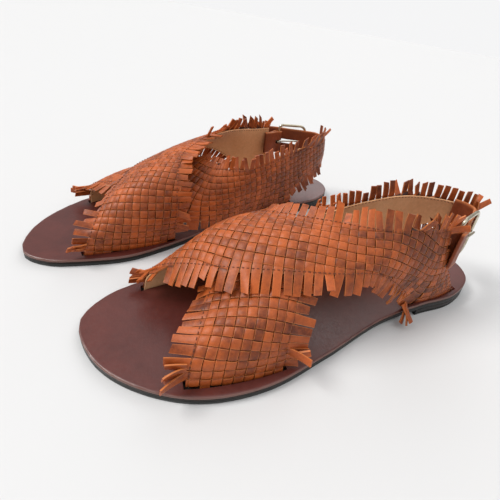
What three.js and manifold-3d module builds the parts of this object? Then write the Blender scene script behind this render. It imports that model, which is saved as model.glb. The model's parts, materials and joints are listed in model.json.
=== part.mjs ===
// Pair of flat sandals with two plaited leather bands that cross over the instep.
// Millimetres, +Z up, toes towards -Y, the left shoe at +X. The right shoe is the left one mirrored.
import * as THREE from 'three';
import { mergeVertices } from 'three/addons/utils/BufferGeometryUtils.js';
import Module from 'manifold-3d';

const wasm = await Module();
wasm.setup();

// ---------------------------------------------------------------- driving dimensions
const SOLE_LENGTH = 250;
const SOLE_WIDTH = 91.5;            // across the ball of the foot
const GAP = 0.3;                    // clearance between pieces that rest on each other
const LAYER_GAP = 0.2;              // glue line between two layers of the sole
const FOOTBED_THICK = 1.7;
const MIDSOLE_THICK = 1.0;
const OUTSOLE_THICK = 1.8;
const HEEL_RISE = 4.6;              // how much higher the footbed lies at the heel
const TOP_PIECE_THICK = 1.5;
const NAIL_RADIUS = 0.8;
const NAIL_HEAD_RADIUS = 1.8;
const NAIL_HEAD_THICK = 0.8;
const SHANK_THICK = 0.8;
const SHANK_WIDTH = 12;
const SHANK_LENGTH = 70;
const PLAIT_THICK = 2.2;
const LINING_THICK = 1.0;
const THREAD_SIZE = 0.6;
const THREAD_INSET = 2.2;           // stitch row to the edge of the plait
const STRAP_THICK = 1.8;
const STRAP_HEIGHT = 25;
const BUCKLE_HEIGHT = 34;
const BUCKLE_LENGTH = 28;
const FRONT_CORNER = 3.5;           // the frame is nearly square where the tab holds it
const REAR_CORNER = 6;
const WIRE_RADIUS = 1.2;
const PRONG_RADIUS = 0.7;
const TAB_THICK = 1.3;
const TAB_HEIGHT = 20;
const RIGHT_SHOE_TURN_DEG = 13.4;   // how the right shoe stands beside the left one

const SOLE_THICK = FOOTBED_THICK + MIDSOLE_THICK + OUTSOLE_THICK + 2 * LAYER_GAP;
const BAND_STACK = PLAIT_THICK + GAP + LINING_THICK;
const MIDSOLE_TOP = -FOOTBED_THICK - LAYER_GAP;                 // below the top of the footbed
const OUTSOLE_TOP = MIDSOLE_TOP - MIDSOLE_THICK - LAYER_GAP;
const BAND_FOOT = MIDSOLE_TOP + GAP;                            // the band ends stand on the midsole

// The patterns below are drawn for a sole of this size and brought to SOLE_LENGTH and SOLE_WIDTH.
const PATTERN_LENGTH = 250;
const PATTERN_WIDTH = 91.5;
const station = (y) => y * SOLE_LENGTH / PATTERN_LENGTH;
const sized = ([x, y, ...height]) => [x * SOLE_WIDTH / PATTERN_WIDTH, station(y), ...height];

const RAMP_START = station(10);     // the footbed rises between these two stations
const RAMP_END = station(70);
const HEEL_FRONT = station(62);     // front face of the heel
const SHANK_CENTRE_Y = station(45);
const RIGHT_SHOE_OFFSET = sized([-119.6, -42.1]);

// Outline of the left sole, seen from above: outer side first, from the toe back to the heel.
const SOLE_OUTLINE = [
  [-12, -125], [11.5, -119], [31, -102.5], [46, -76], [49.5, -45], [42, -10], [31, 30],
  [29, 65], [27.5, 95], [16, 118.3], [0, 125], [-18, 118.3], [-30, 95], [-30, 60],
  [-30.5, 20], [-34, -15], [-40, -45], [-42, -72], [-35, -97.5], [-26.5, -115],
];

const F = SOLE_THICK;               // height of the footbed at the forepart
const H = F + HEEL_RISE;            // and at the heel
const FOOT_F = F + BAND_FOOT;       // foot of a band in its slot at the forepart
const FOOT_H = H + BAND_FOOT;       // and at the heel

// The outer face of each band is lofted through three lines: front edge, middle and rear edge.
const OVER_BAND = {
  front: [
    [-31, -96, FOOT_F], [-30, -92, F + 12], [-13, -78, F + 26], [9, -56, F + 37], [22, -31, F + 41],
    [30, -9, F + 42], [33, 16, F + 39], [31.5, 40, F + 22], [27, 57, FOOT_H], [27, 78, FOOT_H],
    [23.5, 99, FOOT_H],
  ],
  middle: [
    [-36, -68, FOOT_F], [-37, -65, F + 20], [-25, -58, F + 41], [-4, -38, F + 50], [13, -14, F + 53],
    [24, 6, F + 52], [29, 26, F + 49], [30, 44, F + 40], [29.5, 60, F + 31], [28.7, 70, F + 30],
    [26.6, 78, F + 30],
  ],
  rear: [
    [-37, -40, FOOT_F], [-39, -38, F + 22], [-32, -34, F + 43], [-16, -26, F + 54], [2, -4, F + 58],
    [14, 12, F + 60], [21, 29, F + 60], [24, 43, F + 59], [25, 54, F + 58], [25, 62, F + 58],
    [24.6, 69, F + 58],
  ],
};
const UNDER_BAND = {
  front: [
    [40, -81, FOOT_F], [38, -80, F + 12], [28, -75, F + 20], [10, -67, F + 23.5], [-10, -57, F + 22],
    [-26, -47, F + 15], [-32.5, -32, F + 8], [-35.5, -6, F + 5.5], [-33, 14, F + 5.5],
    [-28, 34, F + 0.2], [-27, 62, FOOT_H], [-25, 80, H + 17], [-19, 102, H + 28], [-6, 117, H + 30],
    [3, 117.5, H + 30],
  ],
  middle: [
    [44, -58, FOOT_F], [43, -56, F + 15], [34, -51, F + 27], [16, -44, F + 33.5], [-5, -35, F + 37],
    [-22, -27, F + 31], [-31, -16, F + 26], [-34.5, 6, F + 26], [-33, 24, F + 27], [-31, 44, F + 29],
    [-28, 66, F + 32], [-25, 86, H + 34], [-19, 103, H + 39], [-6, 117, H + 40], [3, 117.5, H + 40],
  ],
  rear: [
    [44, -34, FOOT_F], [42, -32, F + 14], [34, -25, F + 28], [19, -16, F + 39.5], [2, -8, F + 46],
    [-14, -5, F + 47], [-25, 4, F + 45], [-30, 18, F + 44], [-30.5, 34, F + 47], [-29, 52, F + 51],
    [-26.5, 70, F + 54], [-23.5, 87, H + 50], [-17, 103, H + 50], [-5.5, 115.5, H + 50],
    [3, 116.5, H + 50],
  ],
};

// Heel strap and buckle, seen from above.
const BUCKLE_CENTRE = new THREE.Vector3(...sized([16.6, 92.6, H + 39.5]));
const BUCKLE_HEADING = new THREE.Vector3(0.36, -0.933, 0).normalize();   // from the heel forwards
const HEEL_INSIDE = [[-9, 109.7], [-3.5, 113.9], [4, 114.1]];     // the heel strap starts inside this line
const STRAP_START = HEEL_INSIDE.map(([x, y]) => [x, y - BAND_STACK]);
const STRAP_END = [[27.6, 77], [29.4, 72.2]];
const TAB_END = [25, 64];            // on the over band's outer face, which the tab ends inside of
const TAB_INSIDE = 2.5;             // from the inner face of the lining to the middle of the tab

// Parts of a band's length, from 0 to 1, that stand in the slots beside the heel and the waist.
const OVER_BAND_HEEL_FOOT = [0.785, 1];
const UNDER_BAND_WAIST_FOOT = [0.621, 0.736];

// Heel nails, seen from above.
const NAIL_PLACES = [[-14, 104], [14, 102], [0, 112]].map(sized);

// How finely the shapes are divided.
const SOLE_STATIONS = 38;
const HEEL_STATIONS = 20;
const OVER_BAND_STEPS = 30;
const UNDER_BAND_STEPS = 36;
const BAND_WIDTH_STEPS = 4;
const THREAD_STEPS = 24;
const STRAP_STEPS = 36;

const COLOURS = {
  footbed: 0x69372f, midsole: 0x241e1b, outsole: 0x232624, heel: 0x2a2624, rubber: 0x1d1d1d,
  steel: 0x9b9da0, plait: 0xb2602f, lining: 0xc08e60, thread: 0x7d4122, strap: 0xa2552b, wire: 0xc8c3aa,
};

// ---------------------------------------------------------------- geometry helpers
function meshFrom(positions, triangles) {
  const geometry = new THREE.BufferGeometry();
  geometry.setAttribute('position', new THREE.Float32BufferAttribute(positions, 3));
  geometry.setIndex(triangles);
  if (signedVolume(geometry) < 0) {
    const index = geometry.index;
    for (let i = 0; i < index.count; i += 3) {
      const first = index.getX(i);
      index.setX(i, index.getX(i + 2));
      index.setX(i + 2, first);
    }
  }
  return geometry;
}

function signedVolume(geometry) {
  const corners = [new THREE.Vector3(), new THREE.Vector3(), new THREE.Vector3()];
  let total = 0;
  for (let i = 0; i < geometry.index.count; i += 3) {
    corners.forEach((corner, j) => {
      corner.fromBufferAttribute(geometry.attributes.position, geometry.index.getX(i + j));
    });
    total += corners[0].dot(corners[1].clone().cross(corners[2])) / 6;
  }
  return total;
}

// Closed solid between two faces, each given as point(s, t) with s and t from 0 to 1.
function gridSolid(outer, inner, stepsS, stepsT) {
  const positions = [];
  const triangles = [];
  const row = stepsT + 1;
  const layer = row * (stepsS + 1);
  for (const face of [outer, inner]) {
    for (let i = 0; i <= stepsS; i++) {
      for (let j = 0; j <= stepsT; j++) positions.push(...face(i / stepsS, j / stepsT).toArray());
    }
  }
  const quad = (a, b, c, d) => triangles.push(a, b, c, a, c, d);
  for (let i = 0; i < stepsS; i++) {
    for (let j = 0; j < stepsT; j++) {
      const a = i * row + j;
      quad(a, a + row, a + row + 1, a + 1);
      quad(layer + a, layer + a + 1, layer + a + row + 1, layer + a + row);
    }
    const low = i * row;
    const high = low + stepsT;
    quad(low, layer + low, layer + low + row, low + row);
    quad(high, high + row, layer + high + row, layer + high);
  }
  for (let j = 0; j < stepsT; j++) {
    const end = stepsS * row + j;
    quad(j, j + 1, layer + j + 1, layer + j);
    quad(end, layer + end, layer + end + 1, end + 1);
  }
  return meshFrom(positions, triangles);
}

// Closed tube round a closed flat path in the XY plane.
function closedTube(path, radius, steps, sides) {
  const positions = [];
  const triangles = [];
  for (let i = 0; i < steps; i++) {
    const centre = path.getPointAt(i / steps);
    const tangent = path.getTangentAt(i / steps);
    for (let j = 0; j < sides; j++) {
      const angle = 2 * Math.PI * (j + 0.5) / sides;
      const out = radius * Math.cos(angle);
      positions.push(centre.x + tangent.y * out, centre.y - tangent.x * out, radius * Math.sin(angle));
      const next = (i + 1) % steps;
      const side = (j + 1) % sides;
      const a = i * sides + j;
      const b = i * sides + side;
      const c = next * sides + side;
      const d = next * sides + j;
      triangles.push(a, b, c, a, c, d);
    }
  }
  return meshFrom(positions, triangles);
}

function solidOf(geometry) {
  const bare = geometry.clone();
  bare.deleteAttribute('normal');
  bare.deleteAttribute('uv');
  const merged = mergeVertices(bare, 1e-4);
  return new wasm.Manifold(new wasm.Mesh({
    numProp: 3,
    vertProperties: new Float32Array(merged.attributes.position.array),
    triVerts: new Uint32Array(merged.index.array),
  }));
}

function geometryOf(solid) {
  const mesh = solid.getMesh();
  const geometry = new THREE.BufferGeometry();
  geometry.setAttribute('position', new THREE.BufferAttribute(new Float32Array(mesh.vertProperties), 3));
  geometry.setIndex(new THREE.BufferAttribute(new Uint32Array(mesh.triVerts), 1));
  return geometry;
}

function piece(name, geometry, colour, roughness = 0.75, metalness = 0) {
  geometry.computeVertexNormals();
  const material = new THREE.MeshStandardMaterial({ color: colour, roughness, metalness });
  const mesh = new THREE.Mesh(geometry, material);
  mesh.name = name;
  return mesh;
}

const smooth = (value) => {
  const t = THREE.MathUtils.clamp(value, 0, 1);
  return t * t * (3 - 2 * t);
};

const footbedTop = (y) => F + HEEL_RISE * smooth((y - RAMP_START) / (RAMP_END - RAMP_START));

// ---------------------------------------------------------------- sole
const outlineCurve = new THREE.CatmullRomCurve3(
  SOLE_OUTLINE.map((point) => new THREE.Vector3(...sized(point), 0)), true, 'centripetal');
const outlinePoints = outlineCurve.getPoints(720);

// Inner and outer edge of the sole at a station along its length.
function soleEdges(y) {
  const crossings = [];
  for (let i = 1; i < outlinePoints.length; i++) {
    const a = outlinePoints[i - 1];
    const b = outlinePoints[i];
    if ((a.y - y) * (b.y - y) < 0) crossings.push(a.x + (b.x - a.x) * (y - a.y) / (b.y - a.y));
  }
  return [Math.min(...crossings), Math.max(...crossings)];
}

// Stations from `from` to `to`, closer together near both ends.
function stations(from, to, count) {
  return Array.from({ length: count + 1 }, (_, i) => {
    const share = (1 - Math.cos(Math.PI * i / count)) / 2;
    return from + (to - from) * share;
  });
}

// One layer of the sole: its top and bottom are heights that depend on y.
function soleLayer(from, to, count, inset, top, bottom) {
  const ys = stations(from, to, count);
  const at = (height) => (s, t) => {
    const y = ys[Math.round(s * count)];
    const [left, right] = soleEdges(y);
    return new THREE.Vector3(left + inset + (right - left - 2 * inset) * t, y, height(y));
  };
  return gridSolid(at(top), at(bottom), count, 1);
}

const HALF_LENGTH = SOLE_LENGTH / 2;
const END_CUT = 0.4;                // the first and last station, just inside the tips
const fullLayer = (inset, top, bottom) => soleLayer(
  -HALF_LENGTH + END_CUT + inset, HALF_LENGTH - END_CUT - inset, SOLE_STATIONS, inset,
  (y) => footbedTop(y) + top, (y) => footbedTop(y) + bottom);

function box(width, length, height, x, y, z) {
  return solidOf(new THREE.BoxGeometry(width, length, height).translate(x, y, z));
}

// ---------------------------------------------------------------- bands
// No part of a band reaches below the midsole that its ends stand on.
function onSeat(point) {
  point.z = Math.max(point.z, footbedTop(point.y) + BAND_FOOT);
  return point;
}

function bandSurface(lines, outward) {
  const curves = [lines.front, lines.middle, lines.rear].map((points) => new THREE.CatmullRomCurve3(
    points.map((point) => new THREE.Vector3(...sized(point))), false, 'catmullrom', 0.5));
  const face = (s, t) => {
    const [front, middle, rear] = curves.map((curve) => curve.getPoint(s));
    return onSeat(front.multiplyScalar((1 - t) * (1 - 2 * t))
      .addScaledVector(middle, 4 * t * (1 - t))
      .addScaledVector(rear, t * (2 * t - 1)));
  };
  const step = 0.004;
  const normal = (s, t) => {
    const s0 = Math.max(s - step, 0);
    const s1 = Math.min(s + step, 1);
    const t0 = Math.max(t - step, 0);
    const t1 = Math.min(t + step, 1);
    const along = face(s1, t).sub(face(s0, t));
    const across = face(s, t1).sub(face(s, t0));
    return along.cross(across).normalize().multiplyScalar(outward);
  };
  const at = (depth) => (s, t) => onSeat(face(s, t).addScaledVector(normal(s, t), -depth));
  return { face, at };
}

const overBand = bandSurface(OVER_BAND, 1);
const underBand = bandSurface(UNDER_BAND, -1);

const bandLayer = (band, steps, from, to) => gridSolid(
  band.at(from), band.at(to), steps, BAND_WIDTH_STEPS);
const plait = (band, steps) => bandLayer(band, steps, 0, PLAIT_THICK);
const lining = (band, steps) => bandLayer(band, steps, PLAIT_THICK + GAP, BAND_STACK);

// Sewing thread along one long edge, lying on the plait.
function threadRow(band, edge, from, to) {
  const width = band.face(0.5, 0).distanceTo(band.face(0.5, 1));
  const inset = THREAD_INSET / width;
  const place = edge === 'front' ? inset : 1 - inset;
  const face = (height) => (s, t) => band.at(-height)(
    from + (to - from) * s, place + (t - 0.5) * THREAD_SIZE / width);
  return gridSolid(face(GAP + THREAD_SIZE), face(GAP), THREAD_STEPS, 1);
}

// Slot in the footbed that a band end passes through: it follows the line of the band's foot.
function slotAlong(line, outwardX) {
  const extra = 2;                  // longer than the band by this much at each end
  const side = 0.8;                 // wider than the band by this much on each side
  const steps = 8;
  const low = -6;                   // the cut starts below the footbed and ends above it
  const high = H + 6;
  const along = line(1).sub(line(0)).normalize();
  const wall = (offset) => (s, t) => {
    const point = line(s).addScaledVector(along, (s * 2 - 1) * extra);
    return new THREE.Vector3(point.x + outwardX * offset, point.y, t < 0.5 ? point.z + low : high);
  };
  return solidOf(gridSolid(wall(side), wall(-BAND_STACK - side), steps, 1));
}

// ---------------------------------------------------------------- buckle and strap
const BUCKLE_OUT = new THREE.Vector3(-BUCKLE_HEADING.y, BUCKLE_HEADING.x, 0);
const UP = new THREE.Vector3(0, 0, 1);
const END_WIRE = BUCKLE_LENGTH / 2 - WIRE_RADIUS;    // from the middle of the buckle to either end bar
const PRONG_LOOP = WIRE_RADIUS + GAP + PRONG_RADIUS; // centre line radius of the prong's loop

// A point of the buckle: forwards along it and outwards from the ankle.
function buckleAt(forward, out) {
  return BUCKLE_CENTRE.clone().addScaledVector(BUCKLE_HEADING, forward).addScaledVector(BUCKLE_OUT, out);
}

// Puts a shape drawn with X forwards along the buckle, Y up and Z towards the ankle in its place.
function placeInBuckle(geometry) {
  const turn = new THREE.Matrix4().makeBasis(BUCKLE_HEADING, UP, BUCKLE_OUT.clone().negate());
  return geometry.applyMatrix4(turn.setPosition(BUCKLE_CENTRE));
}

function buckleFrame() {
  const high = BUCKLE_HEIGHT / 2 - WIRE_RADIUS;
  const quarter = Math.PI / 2;
  const path = new THREE.Path();
  path.moveTo(END_WIRE, 0);
  path.absarc(END_WIRE - FRONT_CORNER, high - FRONT_CORNER, FRONT_CORNER, 0, quarter);
  path.absarc(-END_WIRE + REAR_CORNER, high - REAR_CORNER, REAR_CORNER, quarter, 2 * quarter);
  path.absarc(-END_WIRE + REAR_CORNER, -high + REAR_CORNER, REAR_CORNER, 2 * quarter, 3 * quarter);
  path.absarc(END_WIRE - FRONT_CORNER, -high + FRONT_CORNER, FRONT_CORNER, 3 * quarter, 4 * quarter);
  path.closePath();
  return placeInBuckle(closedTube(path, WIRE_RADIUS, 44, 6));
}

function rodBetween(from, to, radius) {
  const along = to.clone().sub(from);
  const rod = new THREE.CapsuleGeometry(radius, along.length(), 2, 6);
  const turn = new THREE.Quaternion().setFromUnitVectors(new THREE.Vector3(0, 1, 0), along.normalize());
  rod.applyQuaternion(turn);
  const centre = from.clone().add(to).multiplyScalar(0.5);
  return rod.translate(centre.x, centre.y, centre.z);
}

// Loop round the front bar, and a rod whose tip rests on the outside of the rear bar.
function buckleProng() {
  const loop = new THREE.TorusGeometry(PRONG_LOOP, PRONG_RADIUS, 6, 14);
  loop.rotateX(Math.PI / 2).translate(END_WIRE, 0, 0);
  const root = new THREE.Vector3(END_WIRE - PRONG_LOOP, 0, 0);
  const tip = new THREE.Vector3(-END_WIRE - WIRE_RADIUS, 0, -WIRE_RADIUS - PRONG_RADIUS - GAP);
  return placeInBuckle(geometryOf(solidOf(loop).add(solidOf(rodBetween(root, tip, PRONG_RADIUS)))));
}

// The strap's middle line: round the heel, inside the rear bar, up through the frame and over the tab.
function strapCurve() {
  const half = STRAP_THICK / 2;
  const insideRear = WIRE_RADIUS + GAP + half;
  const overFront = PRONG_LOOP + PRONG_RADIUS + GAP + half;
  const level = (point) => new THREE.Vector3(...sized(point), BUCKLE_CENTRE.z);
  const points = [
    ...STRAP_START.map(level), buckleAt(-END_WIRE, -insideRear), buckleAt(2, 0.6),
    buckleAt(END_WIRE, overFront), ...STRAP_END.map(level),
  ];
  return new THREE.CatmullRomCurve3(points, false, 'centripetal');
}

function ribbon(curve, thick, height, steps) {
  const wall = (offset) => (s, t) => {
    const tangent = curve.getTangentAt(s);
    const side = new THREE.Vector3(tangent.y, -tangent.x, 0).normalize();
    const point = curve.getPointAt(s).addScaledVector(side, offset);
    point.z += (t - 0.5) * height;
    return point;
  };
  return gridSolid(wall(thick / 2), wall(-thick / 2), steps, 1);
}

// Upright slot that the prong moves in, from one distance along the buckle to another.
function prongSlot(from, to, margin) {
  const through = 24;               // deeper than the leather it cuts
  const slot = new THREE.BoxGeometry(to - from, 2 * (PRONG_RADIUS + margin), through);
  return solidOf(placeInBuckle(slot.translate((from + to) / 2, 0, 0)));
}

function heelStrap() {
  const strap = solidOf(ribbon(strapCurve(), STRAP_THICK, STRAP_HEIGHT, STRAP_STEPS));
  return geometryOf(strap.subtract(prongSlot(-END_WIRE / 2, END_WIRE + 1, 2 * GAP)));
}

// A leather strip folded round the front bar, with both legs running forwards inside the over band.
function buckleTab() {
  const middle = WIRE_RADIUS + GAP + TAB_THICK / 2;
  const foldSteps = 8;
  const fold = Array.from({ length: foldSteps + 1 }, (_, i) => {
    const angle = Math.PI * (i / foldSteps + 0.5);
    return buckleAt(END_WIRE + middle * Math.cos(angle), middle * Math.sin(angle));
  });
  const spacing = (TAB_THICK + GAP) / 2;
  const [faceX, endY] = sized(TAB_END);
  const endX = faceX - BAND_STACK - TAB_INSIDE;
  const leg = (side) => new THREE.Vector3(endX + side * spacing, endY, BUCKLE_CENTRE.z);
  const knee = (side) => leg(side).add(new THREE.Vector3(0, 6, 0));
  const start = (side) => buckleAt(END_WIRE + 2.5, side * middle);
  const points = [leg(1), knee(1), start(1), ...fold, start(-1), knee(-1), leg(-1)];
  const curve = new THREE.CatmullRomCurve3(points, false, 'centripetal');
  const strip = solidOf(ribbon(curve, TAB_THICK, TAB_HEIGHT, 30));
  const reach = PRONG_LOOP + PRONG_RADIUS + GAP;
  return geometryOf(strip.subtract(prongSlot(END_WIRE - reach, END_WIRE + reach, GAP)));
}

// ---------------------------------------------------------------- one shoe
function slots() {
  const part = ([from, to]) => (s) => from + (to - from) * s;
  const overHeel = part(OVER_BAND_HEEL_FOOT);
  const underWaist = part(UNDER_BAND_WAIST_FOOT);
  return [
    slotAlong((s) => overBand.face(0, s), -1),
    slotAlong((s) => overBand.face(overHeel(s), 0), 1),
    slotAlong((s) => underBand.face(0, s), 1),
    slotAlong((s) => underBand.face(underWaist(s), 0), -1),
  ];
}

function footbed() {
  const sheet = solidOf(fullLayer(0, 0, -FOOTBED_THICK));
  return geometryOf(slots().reduce((solid, slot) => solid.subtract(slot), sheet));
}

function midsole() {
  const board = solidOf(fullLayer(0, MIDSOLE_TOP, MIDSOLE_TOP - MIDSOLE_THICK));
  const through = 40;               // deeper than the board
  const pocket = box(SHANK_WIDTH + 2 * GAP, SHANK_LENGTH + 2 * GAP, through, 0, SHANK_CENTRE_Y, 0);
  return geometryOf(board.subtract(pocket));
}

function shank() {
  const from = SHANK_CENTRE_Y - SHANK_LENGTH / 2;
  const top = MIDSOLE_TOP - (MIDSOLE_THICK - SHANK_THICK) / 2;
  const face = (depth) => (s, t) => {
    const y = from + SHANK_LENGTH * s;
    return new THREE.Vector3((t - 0.5) * SHANK_WIDTH, y, footbedTop(y) + top - depth);
  };
  return gridSolid(face(0), face(SHANK_THICK), 14, 1);
}

function heelLift() {
  return soleLayer(HEEL_FRONT, HALF_LENGTH - END_CUT, HEEL_STATIONS, 0,
    (y) => footbedTop(y) - SOLE_THICK - LAYER_GAP, () => TOP_PIECE_THICK + LAYER_GAP);
}

function heelTopPiece() {
  return soleLayer(HEEL_FRONT, HALF_LENGTH - END_CUT, HEEL_STATIONS, 0, () => TOP_PIECE_THICK, () => 0);
}

// A nail from under the heel lift up into the midsole; its head lies flush in the lift.
function nailShape(x, y, clearance) {
  const foot = TOP_PIECE_THICK + LAYER_GAP;
  const tip = H + OUTSOLE_TOP - 0.4;
  const profile = [
    [0, foot], [NAIL_HEAD_RADIUS + clearance, foot],
    [NAIL_HEAD_RADIUS + clearance, foot + NAIL_HEAD_THICK + clearance],
    [NAIL_RADIUS + clearance, foot + NAIL_HEAD_THICK + clearance],
    [NAIL_RADIUS + clearance, tip + clearance], [0, tip + clearance],
  ].map(([radius, height]) => new THREE.Vector2(radius, height));
  return new THREE.LatheGeometry(profile, 10).rotateX(Math.PI / 2).translate(x, y, 0);
}

function withNailHoles(geometry) {
  return geometryOf(NAIL_PLACES.reduce((solid, [x, y]) => {
    const hole = nailShape(x, y, 0.2);
    const position = hole.attributes.position;
    for (let i = 0; i < position.count; i++) {
      if (position.getZ(i) < TOP_PIECE_THICK + LAYER_GAP + 0.01) position.setZ(i, 0);
    }
    return solid.subtract(solidOf(hole));
  }, solidOf(geometry)));
}

function shoe(side) {
  const group = new THREE.Group();
  const add = (name, ...rest) => group.add(piece(`${side}_${name}`, ...rest));
  add('footbed', footbed(), COLOURS.footbed, 0.45);
  add('midsole', midsole(), COLOURS.midsole, 0.9);
  add('shank', shank(), COLOURS.steel, 0.4, 1);
  add('outsole', withNailHoles(fullLayer(0, OUTSOLE_TOP, -SOLE_THICK)), COLOURS.outsole, 0.6);
  add('heel_lift', withNailHoles(heelLift()), COLOURS.heel, 0.6);
  add('heel_top_piece', heelTopPiece(), COLOURS.rubber, 0.8);
  NAIL_PLACES.forEach(([x, y], i) => add(`heel_nail_${i + 1}`, nailShape(x, y, 0), COLOURS.steel, 0.4, 1));
  add('over_band', plait(overBand, OVER_BAND_STEPS), COLOURS.plait);
  add('over_band_lining', lining(overBand, OVER_BAND_STEPS), COLOURS.lining, 0.95);
  add('under_band', plait(underBand, UNDER_BAND_STEPS), COLOURS.plait);
  add('under_band_lining', lining(underBand, UNDER_BAND_STEPS), COLOURS.lining, 0.95);
  add('over_band_front_stitching', threadRow(overBand, 'front', 0.07, 0.72), COLOURS.thread);
  add('over_band_rear_stitching', threadRow(overBand, 'rear', 0.05, 0.98), COLOURS.thread);
  add('under_band_front_stitching', threadRow(underBand, 'front', 0.05, 0.24), COLOURS.thread);
  add('under_band_rear_stitching', threadRow(underBand, 'rear', 0.5, 0.98), COLOURS.thread);
  add('heel_strap', heelStrap(), COLOURS.strap, 0.6);
  add('buckle_tab', buckleTab(), COLOURS.strap, 0.6);
  add('buckle_frame', buckleFrame(), COLOURS.wire, 0.3, 1);
  add('buckle_prong', buckleProng(), COLOURS.wire, 0.3, 1);
  return group;
}

// ---------------------------------------------------------------- the pair
const pair = new THREE.Group();
const left = shoe('left');
const right = new THREE.Group();
const mirrored = shoe('right');
mirrored.scale.x = -1;
right.add(mirrored);
right.rotation.z = THREE.MathUtils.degToRad(RIGHT_SHOE_TURN_DEG);
right.position.set(RIGHT_SHOE_OFFSET[0], RIGHT_SHOE_OFFSET[1], 0);
pair.add(left, right);

// The origin lies on the floor under the middle of the pair.
pair.updateMatrixWorld(true);
const middle = new THREE.Box3().setFromObject(pair, true).getCenter(new THREE.Vector3());
const group = new THREE.Group();
group.add(pair);
pair.position.set(-middle.x, -middle.y, 0);

export default group;
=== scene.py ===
"""A pair of flat sandals: two plaited leather bands that cross over the instep, with a buckled heel strap.

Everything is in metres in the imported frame. Shapes are worked out in millimetres for the left shoe,
toes towards -Y, and then put in place for either shoe; the right one is the mirror image.
"""
import json
import math
import random

import bpy
import numpy as np
from mathutils import Matrix, Vector


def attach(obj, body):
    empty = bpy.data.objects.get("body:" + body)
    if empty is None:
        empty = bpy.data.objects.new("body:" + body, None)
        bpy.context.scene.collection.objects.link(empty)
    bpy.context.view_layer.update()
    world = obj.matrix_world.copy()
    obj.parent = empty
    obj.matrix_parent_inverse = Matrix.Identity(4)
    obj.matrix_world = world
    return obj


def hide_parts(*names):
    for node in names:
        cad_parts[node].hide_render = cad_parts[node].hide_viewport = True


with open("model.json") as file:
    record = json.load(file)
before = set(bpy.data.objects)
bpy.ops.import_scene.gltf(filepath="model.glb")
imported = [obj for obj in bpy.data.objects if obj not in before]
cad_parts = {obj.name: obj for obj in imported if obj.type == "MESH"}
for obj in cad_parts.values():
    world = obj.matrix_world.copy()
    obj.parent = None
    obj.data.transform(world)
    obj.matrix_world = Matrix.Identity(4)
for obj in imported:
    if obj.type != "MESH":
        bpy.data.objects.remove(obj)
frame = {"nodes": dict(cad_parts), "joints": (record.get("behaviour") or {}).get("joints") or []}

bl_info = {
    "name": "Plaited sandals",
    "version": (1, 0, 0),
    "blender": (4, 5, 0),
    "location": "View3D > Sidebar > Sandals",
    "description": "Builds the leather, stitching and buckles of a pair of plaited sandals",
    "category": "Object",
}

MM = 0.001
SIDES = ("left", "right")
BODY = {"left": "root", "right": "right_shoe"}

# ------------------------------------------------------------------ sizes of the part, in millimetres
FOOTBED_TOP = 4.9
HEEL_RISE = 4.6
RAMP = (10.0, 70.0)
HEEL_FRONT = 62.0
HALF_LENGTH = 125.0
FOOTBED_THICK = 1.7
MIDSOLE_THICK = 1.0
LAYER_GAP = 0.2
TOP_PIECE_THICK = 1.5
BAND_FOOT = -1.6
PLAIT_THICK = 2.2
LINING_FROM = 2.55
LINING_THICK = 0.85
F = FOOTBED_TOP
H = F + HEEL_RISE
FOOT_F = F + BAND_FOOT
FOOT_H = H + BAND_FOOT
RIGHT_TURN = math.radians(13.4)
MARGIN = 60.0                       # how far past a band's ends its square lines are traced

SOLE_OUTLINE = [
    (-12, -125), (11.5, -119), (31, -102.5), (46, -76), (49.5, -45), (42, -10), (31, 30),
    (29, 65), (27.5, 95), (16, 118.3), (0, 125), (-18, 118.3), (-30, 95), (-30, 60),
    (-30.5, 20), (-34, -15), (-40, -45), (-42, -72), (-35, -97.5), (-26.5, -115),
]
OVER_BAND = (
    [(-31, -96, FOOT_F), (-30, -92, F + 12), (-13, -78, F + 26), (9, -56, F + 37), (22, -31, F + 41),
     (30, -9, F + 42), (33, 16, F + 39), (31.5, 40, F + 22), (27, 57, FOOT_H), (27, 78, FOOT_H),
     (23.5, 99, FOOT_H)],
    [(-36, -68, FOOT_F), (-37, -65, F + 20), (-25, -58, F + 41), (-4, -38, F + 50), (13, -14, F + 53),
     (24, 6, F + 52), (29, 26, F + 49), (30, 44, F + 40), (29.5, 60, F + 31), (28.7, 70, F + 30),
     (26.6, 78, F + 30)],
    [(-37, -40, FOOT_F), (-39, -38, F + 22), (-32, -34, F + 43), (-16, -26, F + 54), (2, -4, F + 58),
     (14, 12, F + 60), (21, 29, F + 60), (24, 43, F + 59), (25, 54, F + 58), (25, 62, F + 58),
     (24.6, 69, F + 58)],
)
UNDER_BAND = (
    [(40, -81, FOOT_F), (38, -80, F + 12), (28, -75, F + 20), (10, -67, F + 23.5), (-10, -57, F + 22),
     (-26, -47, F + 15), (-32.5, -32, F + 8), (-35.5, -6, F + 5.5), (-33, 14, F + 5.5),
     (-28, 34, F + 0.2), (-27, 62, FOOT_H), (-25, 80, H + 17), (-19, 102, H + 28), (-6, 117, H + 30),
     (3, 117.5, H + 30)],
    [(44, -58, FOOT_F), (43, -56, F + 15), (34, -51, F + 27), (16, -44, F + 33.5), (-5, -35, F + 37),
     (-22, -27, F + 31), (-31, -16, F + 26), (-34.5, 6, F + 26), (-33, 24, F + 27), (-31, 44, F + 29),
     (-28, 66, F + 32), (-25, 86, H + 34), (-19, 103, H + 39), (-6, 117, H + 40), (3, 117.5, H + 40)],
    [(44, -34, FOOT_F), (42, -32, F + 14), (34, -25, F + 28), (19, -16, F + 39.5), (2, -8, F + 46),
     (-14, -5, F + 47), (-25, 4, F + 45), (-30, 18, F + 44), (-30.5, 34, F + 47), (-29, 52, F + 51),
     (-26.5, 70, F + 54), (-23.5, 87, H + 50), (-17, 103, H + 50), (-5.5, 115.5, H + 50),
     (3, 116.5, H + 50)],
)
BUCKLE_CENTRE = np.array([16.6, 92.6, H + 39.5])
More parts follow.
